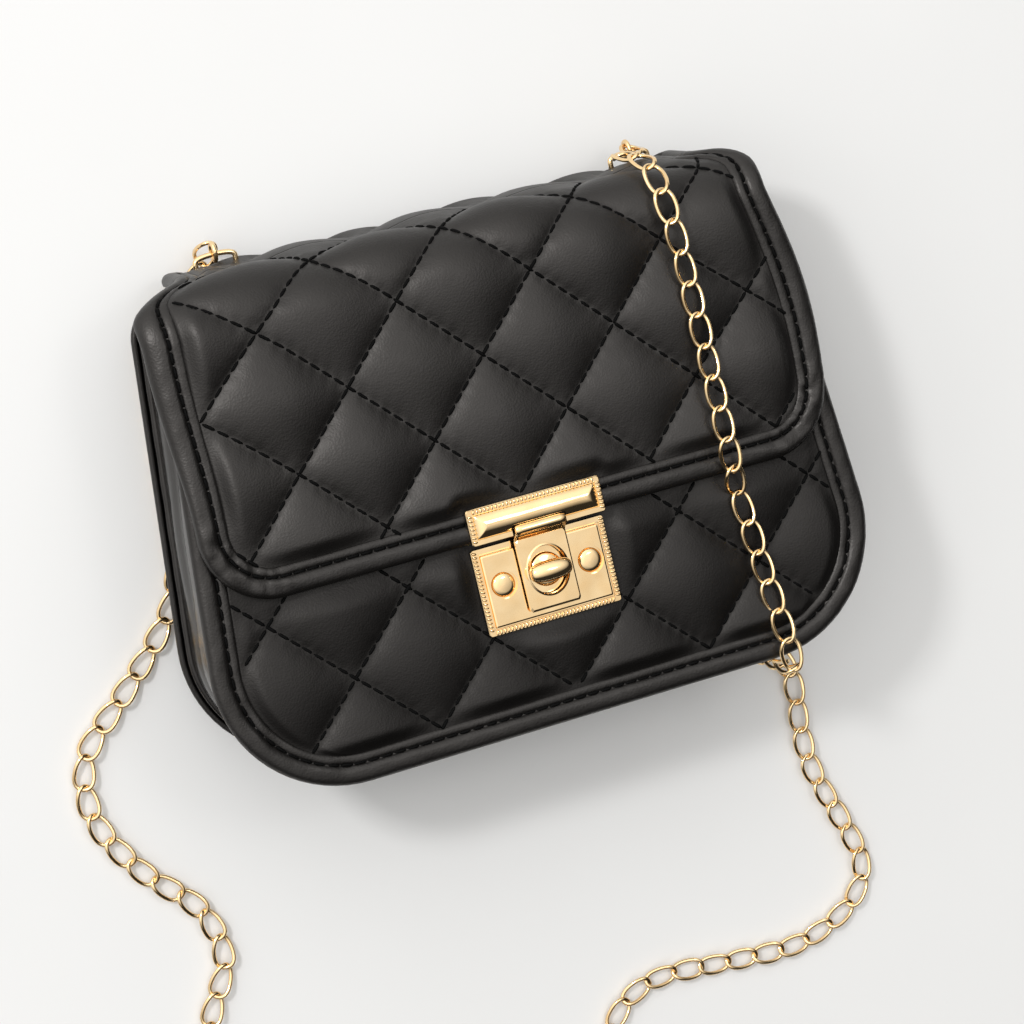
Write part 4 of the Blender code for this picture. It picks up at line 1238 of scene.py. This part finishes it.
def slip_pocket():
    """A flat pocket on the back lining that gapes a little under its hem."""
    low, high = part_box("inner_pocket")
    x = np.linspace(low.x, high.x, 60)[None, :] + np.zeros((44, 1))
    y = np.linspace(low.y, high.y, 44)[:, None] + 0 * x
    gape = 0.0016 * ease(y - (high.y - 0.02), 0.02) * np.cos(x / high.x * math.pi / 2)
    hem = 0.0004 * ease(y - (high.y - 0.008), 0.001)
    grid = stack(x, y, high.z + gape + hem)
    obj = surface("inner_slip_pocket", grid, LINING, UPWARD, thick=0.0007)
    dress(obj, "purse_body", "lining_cloth", "inner_pocket")
    edge = np.array([(low.x, high.y), (low.x, low.y), (high.x, low.y), (high.x, high.y)]) * 0.97
    strokes = path_strokes(np.concatenate([np.linspace(a, b, 40) for a, b in zip(edge, edge[1:])]))
    thread = strokes_mesh("pocket_thread", strokes, stack, high.z + 0.0002, THREAD_BLACK)
    dress(thread, "purse_body", "lining_cloth")


# -------- lock


def rounded_rect(half_x, low, high, radius):
    """Closed outline of a rounded rectangle on the front, with close points at the corners."""
    corners = [
        (half_x - radius, high - radius, 0.0),
        (-half_x + radius, high - radius, math.pi / 2),
        (-half_x + radius, low + radius, math.pi),
        (half_x - radius, low + radius, 1.5 * math.pi),
    ]
    points = []
    for x, y, start in corners:
        turn = start + np.linspace(0, math.pi / 2, 9)
        points.append(pair(x + radius * np.cos(turn), y + radius * np.sin(turn)))
    return np.concatenate(points)


def closed_rings(name, rings, angle):
    """A closed gold body through rings of points, with a face over the first ring and the last."""
    index = np.arange(rings.shape[0] * rings.shape[1]).reshape(rings.shape[:2])
    turned = np.roll(index, -1, 1)
    sides = np.stack((index[:-1], turned[:-1], turned[1:], index[1:]), -1).reshape(-1, 4).tolist()
    obj = new_object(name, rings, [*sides, index[0].tolist(), index[-1].tolist()], GOLD)
    face_outward(obj.data)
    sharpen(obj.data, angle)
    return obj


def plate_mesh(name, half_x, low, high, profile, angle):
    """A plate whose edge follows a profile of (inset, height)."""
    rows = []
    for inset, height in profile:
        radius = max(PLATE_CORNER - inset, 0.0003)
        edge = rounded_rect(half_x - inset, low + inset, high - inset, radius)
        rows.append(front(*edge.T, height))
    return closed_rings(name, np.array(rows), angle)


def cut(obj, edge, low, high, angle):
    """Takes a hidden upright column with this edge out of a mesh for good."""
    cutter = closed_rings("cutter", np.array([front(*edge.T, height) for height in (low, high)]), angle)
    modifier = obj.modifiers.new("cut", "BOOLEAN")
    modifier.operation = "DIFFERENCE"
    modifier.object = cutter
    graph = bpy.context.evaluated_depsgraph_get()
    mesh = bpy.data.meshes.new_from_object(obj.evaluated_get(graph))
    obj.modifiers.clear()
    obj.data = mesh
    bpy.data.objects.remove(cutter, do_unlink=True)
    sharpen(obj.data, angle)


def ellipse(half_x, half_y, x, y):
    """Closed outline of an ellipse on the front."""
    turn = full_turn(ROUND_STEPS)
    return pair(x + half_x * np.cos(turn), y + half_y * np.sin(turn))


def ribs(name, start, end, height, body):
    """A milled edge: short slanting ribs side by side from start to end."""
    start, end = np.array(start), np.array(end)
    length = np.linalg.norm(end - start)
    along = (end - start) / length
    count = int(length / RIB_PITCH)
    centre = start + (end - start) * (np.arange(count)[:, None] + 0.5) / count
    across = np.array((-along[1], along[0])) * 0.94 + along * 0.34
    strokes = (centre - across * RIB_LENGTH / 2, centre + across * RIB_LENGTH / 2)
    obj = strokes_mesh(name, strokes, front, height, GOLD, RIB_WIRE, RIB_ARCH, 8)
    dress(obj, body, "gold_metal")


def lock_on_body():
    """The lower plate with its ribs, the rivet heads and the knob's seat."""
    low, high = BASE_PLATE_U
    rim, field = 0.0008, 0.00150
    profile = [(0.0002, 0.0001), (0.0, 0.0003), (0.0, 0.0006), (0.0002, rim), (0.0018, rim)]
    profile += [(0.0019, 0.0006), (0.0022, 0.0006), (0.0024, 0.0013), (0.0028, field), (0.0060, field)]
    plate = plate_mesh("lock_lower_plate", LOCK_HALF, low, high, profile, 15)
    for x, u in RIVET_PLACES.values():
        cut(plate, ellipse(0.0041, 0.0041, x, u), 0.0006, 0.0040, 15)
    dress(plate, "purse_body", "gold_metal", "lock_base_plate")
    edge, low_row = LOCK_HALF - RIB_INSET, low + RIB_INSET
    for name, x in (("left", -edge), ("right", edge)):
        ribs("lower_plate_ribs_" + name, (x, low + 0.0014), (x, high - 0.0006), rim, "purse_body")
    ribs("lower_plate_ribs_end", (0.001 - edge, low_row), (edge - 0.001, low_row), rim, "purse_body")
    for side, (x, u) in RIVET_PLACES.items():
        profile = [(0.0, 0.00182), (0.0020, 0.00176), (0.0029, 0.00156), (0.0034, 0.0012), (0.0036, 0.0007)]
        head = lathe("rivet_head_" + side, profile, x, u)
        dress(head, "purse_body", "gold_metal", "lock_rivet_" + side)
    profile = [(0.0, 0.0030), (0.0040, 0.0029), (0.0047, 0.0026), (0.0050, 0.0021), (0.0050, 0.0014)]
    dress(lathe("knob_seat", profile, 0.0, KNOB_U), "purse_body", "gold_metal", "knob_collar")


def lathe(name, profile, x, u):
    """A round piece standing on the front, from a profile of (radius, height) from its top."""
    rows = []
    for radius, height in profile:
        size = max(radius, 0.00004)
        rows.append(front(*ellipse(size, size, x, u).T, height))
    return closed_rings(name, np.array(rows), LOCK_SHARP)


def lock_knob():
    """The turning knob: a polished oval with blunt ends."""
    a, b = np.meshgrid(np.linspace(0, math.pi, 34), full_turn(40), indexing="ij")
    body = np.sin(a) ** 0.5
    x = 0.0063 * np.cos(a)
    u = 0.0031 * body * np.cos(b)
    h = 0.0027 * body * np.sin(b)
    obj = surface("turn_knob", front(x, KNOB_U + u, 0.0062 + h), GOLD, around=True)
    face_outward(obj.data, weld=True)
    dress(obj, "knob", "gold_metal", "knob")


def lock_on_flap():
    """The upper plate with its ribs, and the hasp that hangs from it."""
    low, high = FLAP_PLATE_U
    base = FLAP_HEIGHT + 0.0006
    rim = base + 0.0008
    edge_profile = [(0.0002, base - 0.0002), (0.0, base + 0.0001), (0.0, base + 0.0005), (0.0003, rim)]
    groove = [(0.0017, rim), (0.0018, rim - 0.0002), (0.0020, rim)]
    rise = [(0.0024, 0.0004), (0.0030, 0.0008), (0.0037, 0.0011), (0.0044, 0.0013)]
    rise += [(0.0050, 0.00138), (0.0056, 0.0014)]
    swelling = [(inset, rim + height) for inset, height in rise]
    plate = plate_mesh("lock_upper_plate", LOCK_HALF, low, high, edge_profile + groove + swelling, 30)
    cut(plate, rounded_rect(0.0083, low - 0.002, low + 0.0034, 0.0006), base - 0.001, rim + 0.003, 30)
    dress(plate, "flap", "gold_metal", "flap_plate")
    edge, high_row = LOCK_HALF - RIB_INSET, high - RIB_INSET
    for name, x in (("left", -edge), ("right", edge)):
        ribs("upper_plate_ribs_" + name, (x, low + 0.0008), (x, high - 0.0014), rim, "flap")
    ribs("upper_plate_ribs_top", (0.0008 - edge, high_row), (edge - 0.0008, high_row), rim, "flap")
    hasp_tab()
    hasp_slope()
    hasp_roll()


def hasp_tab():
    """The tab over the lower plate, with its oval eyelet."""
    reach = KNOB_U - HASP_END_U
    turn = full_turn(96)
    cos, sin = np.cos(turn), np.sin(turn)
    scale = np.minimum(HASP_HALF / np.maximum(np.abs(cos), 1e-6), reach / np.maximum(np.abs(sin), 1e-6))
    outer = pair(scale * cos, scale * sin)
    hole = pair(0.0060 * cos, 0.0070 * sin)
    low, high = 0.0026, 0.0040
    rings = [
        (outer, 0.0, low),
        (outer, 0.0, high - 0.0004),
        (outer, 0.06, high),
        (hole, -0.10, high),
        (hole, -0.03, high + 0.0003),
        (hole, 0.0, high - 0.0001),
        (hole, 0.0, low),
    ]
    rows = []
    for ring, shrink, height in rings:
        x, u = (ring * (1 - shrink)).T
        rows.append(front(x, KNOB_U + u, height))
    tab = surface("hasp_tab_plate", np.array(rows), GOLD, around=True, along=True)
    face_outward(tab.data)
    sharpen(tab.data, 12)
    dress(tab, "flap", "gold_metal", "hasp_tab")


def hasp_slope():
    """The sheet that rises from the tab to the roll."""
    top = 2 * KNOB_U - HASP_END_U - 0.0004
    path = [(top, 0.0033), (-0.0206, 0.0036), (-0.0196, 0.0047), (-0.0189, 0.0060)]
    x = np.linspace(-HASP_HALF, HASP_HALF, 12)
    rows = [front(x, u + 0 * x, h) for u, h in fine_profile(path, 14)]
    slope = surface("hasp_slope", np.array(rows), GOLD, (0, -0.4, 1), thick=0.0012)
    slope.modifiers["thickness"].offset = 0
    dress(slope, "flap", "gold_metal")


def hasp_roll():
    """The rolled hinge between the upper plate and the tab."""
    low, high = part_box("hasp_roll")
    x = np.array([-0.0078, -0.0077, -0.0073, -0.0060, 0.0060, 0.0073, 0.0077, 0.0078])
    radius = np.array([0.0007, 0.0012, 0.0015, 0.0016, 0.0016, 0.0015, 0.0012, 0.0007])
    turn = full_turn(32)
    centre_y, centre_z = (low.y + high.y) / 2, (low.z + high.z) / 2
    rows = []
    for place, size in zip(x, radius):
        rows.append(stack(place, centre_y + size * np.cos(turn), centre_z + size * np.sin(turn)))
    obj = closed_rings("hasp_hinge_roll", np.array(rows), LOCK_SHARP)
    dress(obj, "flap", "gold_metal", "hasp_roll")


# -------- strap


def chain_route():
    """Places and upward directions along the whole chain, from the right ring to the left one."""
    route = [(point, (0, 1, 0.1)) for point in ROUTE_RING]
    for x, s in ROUTE_TOP + ROUTE_FLAP:
        here = flap(x, s, CHAIN_ON_FLAP)
        route.append((here, flap(x, s, CHAIN_ON_FLAP + 0.01) - here))
    for x, u in ROUTE_FRONT:
        here = front(x, u, CHAIN_HEIGHT)
        route.append((here, front(x, u, CHAIN_HEIGHT + 0.01) - here))
    route += zip(ROUTE_DROP, ROUTE_DROP_UP)
    route += [((x, y, FLOOR_CHAIN_Z), (0, 0, 1)) for x, y in ROUTE_FLOOR]
    route += [(point, (0, 0.3, 1)) for point in ROUTE_LAST]
    points = [Vector(point) for point, _ in route]
    directions = np.array([Vector(up).normalized() for _, up in route])
    line = np.array(smooth(points, ROUTE_COUNT))
    lengths = run_lengths(line)
    nearest = [int(np.argmin(np.linalg.norm(line - point, axis=1))) for point in np.array(points)]
    return line, along_line(lengths, lengths[nearest], directions), lengths


def link_shape():
    """One curb link: an oval of wire, twisted so that it lies flat in its neighbours."""
    turn = full_turn(LINK_SECTIONS)
    cos, sin = np.cos(turn), np.sin(turn)
    long = LINK_LONG * np.sign(cos) * np.abs(cos) ** 0.9
    wide = LINK_WIDE * (1 - LINK_TAPER * cos) * np.sign(sin) * np.abs(sin) ** 0.9
    centre = stack(long, wide, LINK_TWIST * np.sin(2 * turn))
    tangent = unit(np.roll(centre, -1, 0) - np.roll(centre, 1, 0))
    outward = stack(cos * 0.6, sin, 0 * cos)
    outward = unit(outward - tangent * (outward * tangent).sum(1, keepdims=True))
    up = np.cross(tangent, outward)
    return rings_round(centre, outward * 1.05, up * 0.95, LINK_WIRE, LINK_SIDES)


def link_frame(at, line, up, lengths):
    """The middle and the axes of the link at a distance along the chain, rolled a little at random."""
    reach = LINK_PITCH * 0.45
    here, ahead, behind = (along_line(place, lengths, line) for place in (at, at + reach, at - reach))
    tangent = Vector(ahead - behind).normalized()
    normal = Vector(along_line(at, lengths, up))
    roll = float(RANDOM.normal(0, LINK_ROLL))
    cos, sin = math.cos(roll), math.sin(roll)
    normal = (normal - tangent * normal.dot(tangent)).normalized()
    side = normal.cross(tangent)
    axes = np.array((tangent, side * cos - normal * sin, normal * cos + side * sin))
    return (here + ahead * 0.5 + behind * 0.5) / 2, axes


def chain():
    """Every link of the strap, in the part that lies on the flap and the rest."""
    line, up, lengths = chain_route()
    shape = link_shape()
    hem = flap(HEM_CROSSING, HEM_S, CHAIN_ON_FLAP)
    count = int(lengths[-1] / LINK_PITCH)
    pitch = lengths[-1] / count
    cut_at = pitch * round(lengths[int(np.argmin(np.linalg.norm(line - hem, axis=1)))] / pitch)
    links = {"front": [], "loop": []}
    for index in range(count):
        at = (index + 0.5) * pitch
        middle, axes = link_frame(at, line, up, lengths)
        links["front" if at < cut_at else "loop"].append(middle + shape @ axes)
    split = int(np.searchsorted(lengths, cut_at))
    front_cord = tubes_mesh("chain_over_front", np.array(links["front"]), GOLD, closed=True)
    loop_cord = tubes_mesh("chain_loop_links", np.array(links["loop"]), GOLD, closed=True)
    bend_flap(front_cord, "gold_metal", "chain_top_right", "chain_over_flap")
    dress(loop_cord, "purse_body", "gold_metal", "chain_front_drop", "chain_loop")
    declare_cord(line[: split + 1])
    declare_cord(line[split:])


def declare_cord(path):
    """Works out where the chain's path starts and how long it is; nothing uses them."""
    tuple(path[0])
    float(np.linalg.norm(np.diff(path, axis=0), axis=1).sum())


def tail_arch(name):
    """A flattened wire arch at the end of the tail."""
    low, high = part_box("strap_bridge_" + name)
    middle = (low + high) / 2
    half = (high.x - low.x) / 2 - BRIDGE_WIRE
    turn = np.linspace(0, math.pi, 40)
    begin = FLAP_END_Y + BRIDGE_START
    y = begin + (high.y - BRIDGE_WIRE - begin) * np.sin(turn) ** 0.5
    arch = stack(middle.x - half * np.cos(turn), y, middle.z)
    feet = stack(np.array((middle.x - half, middle.x + half)), low.y, middle.z)
    arch = np.concatenate((feet[:1], arch, feet[1:]))
    obj = wire("tail_arch_" + name, arch, BRIDGE_WIRE, UPWARD)
    dress(obj, "purse_body", "gold_metal", "strap_bridge_" + name)


def tail_ring(name):
    """The round ring in an arch, which an end link holds."""
    low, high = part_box("strap_ring_" + name)
    middle = (low + high) / 2
    radius = (high.z - low.z) / 2 - RING_WIRE
    turn = full_turn(ROUND_STEPS)
    loop = stack(middle.x, middle.y + radius * np.cos(turn), middle.z + radius * np.sin(turn))
    ring = wire("tail_ring_" + name, loop, RING_WIRE, (1, 0, 0), closed=True)
    dress(ring, "purse_body", "gold_metal", "strap_ring_" + name)


def wire(name, points, radius, up, closed=False):
    """A smooth round wire through points that lie in one plane."""
    ahead = np.roll(points, -1, 0) - np.roll(points, 1, 0)
    if not closed:
        ahead[0] = points[1] - points[0]
        ahead[-1] = points[-1] - points[-2]
    rings = rings_round(points, unit(np.cross(ahead, up)), np.array(up), radius, 14)
    return tubes_mesh(name, rings[None], GOLD, closed=closed)


def metal_nodes():
    """CAD metal whose shape is already right gets its own plating."""
    steel = ("lock_backing_plate", "flap_backing_plate", "spring_washer", "knob_spindle", "spindle_clip")
    for name in (*steel, "flap_plate_prong_left", "flap_plate_prong_right"):
        paint(name, STEEL)
    paint("bottom_board", board_material())


def paint(name, material):
    """Gives a CAD node one material."""
    mesh = NODES[name].data
    mesh.materials.clear()
    mesh.materials.append(material)
    sharpen(mesh, LOCK_SHARP)


camera()
studio()
floor()
chain()
flap_cover()
flap_border()
flap_inside()
flap_tail_cover()
front_cover()
front_border()
back_cover()
back_border()
gusset()
linings()
lock_on_body()
lock_on_flap()
lock_knob()
for end in ("left", "right"):
    tail_arch(end)
    tail_ring(end)
metal_nodes()
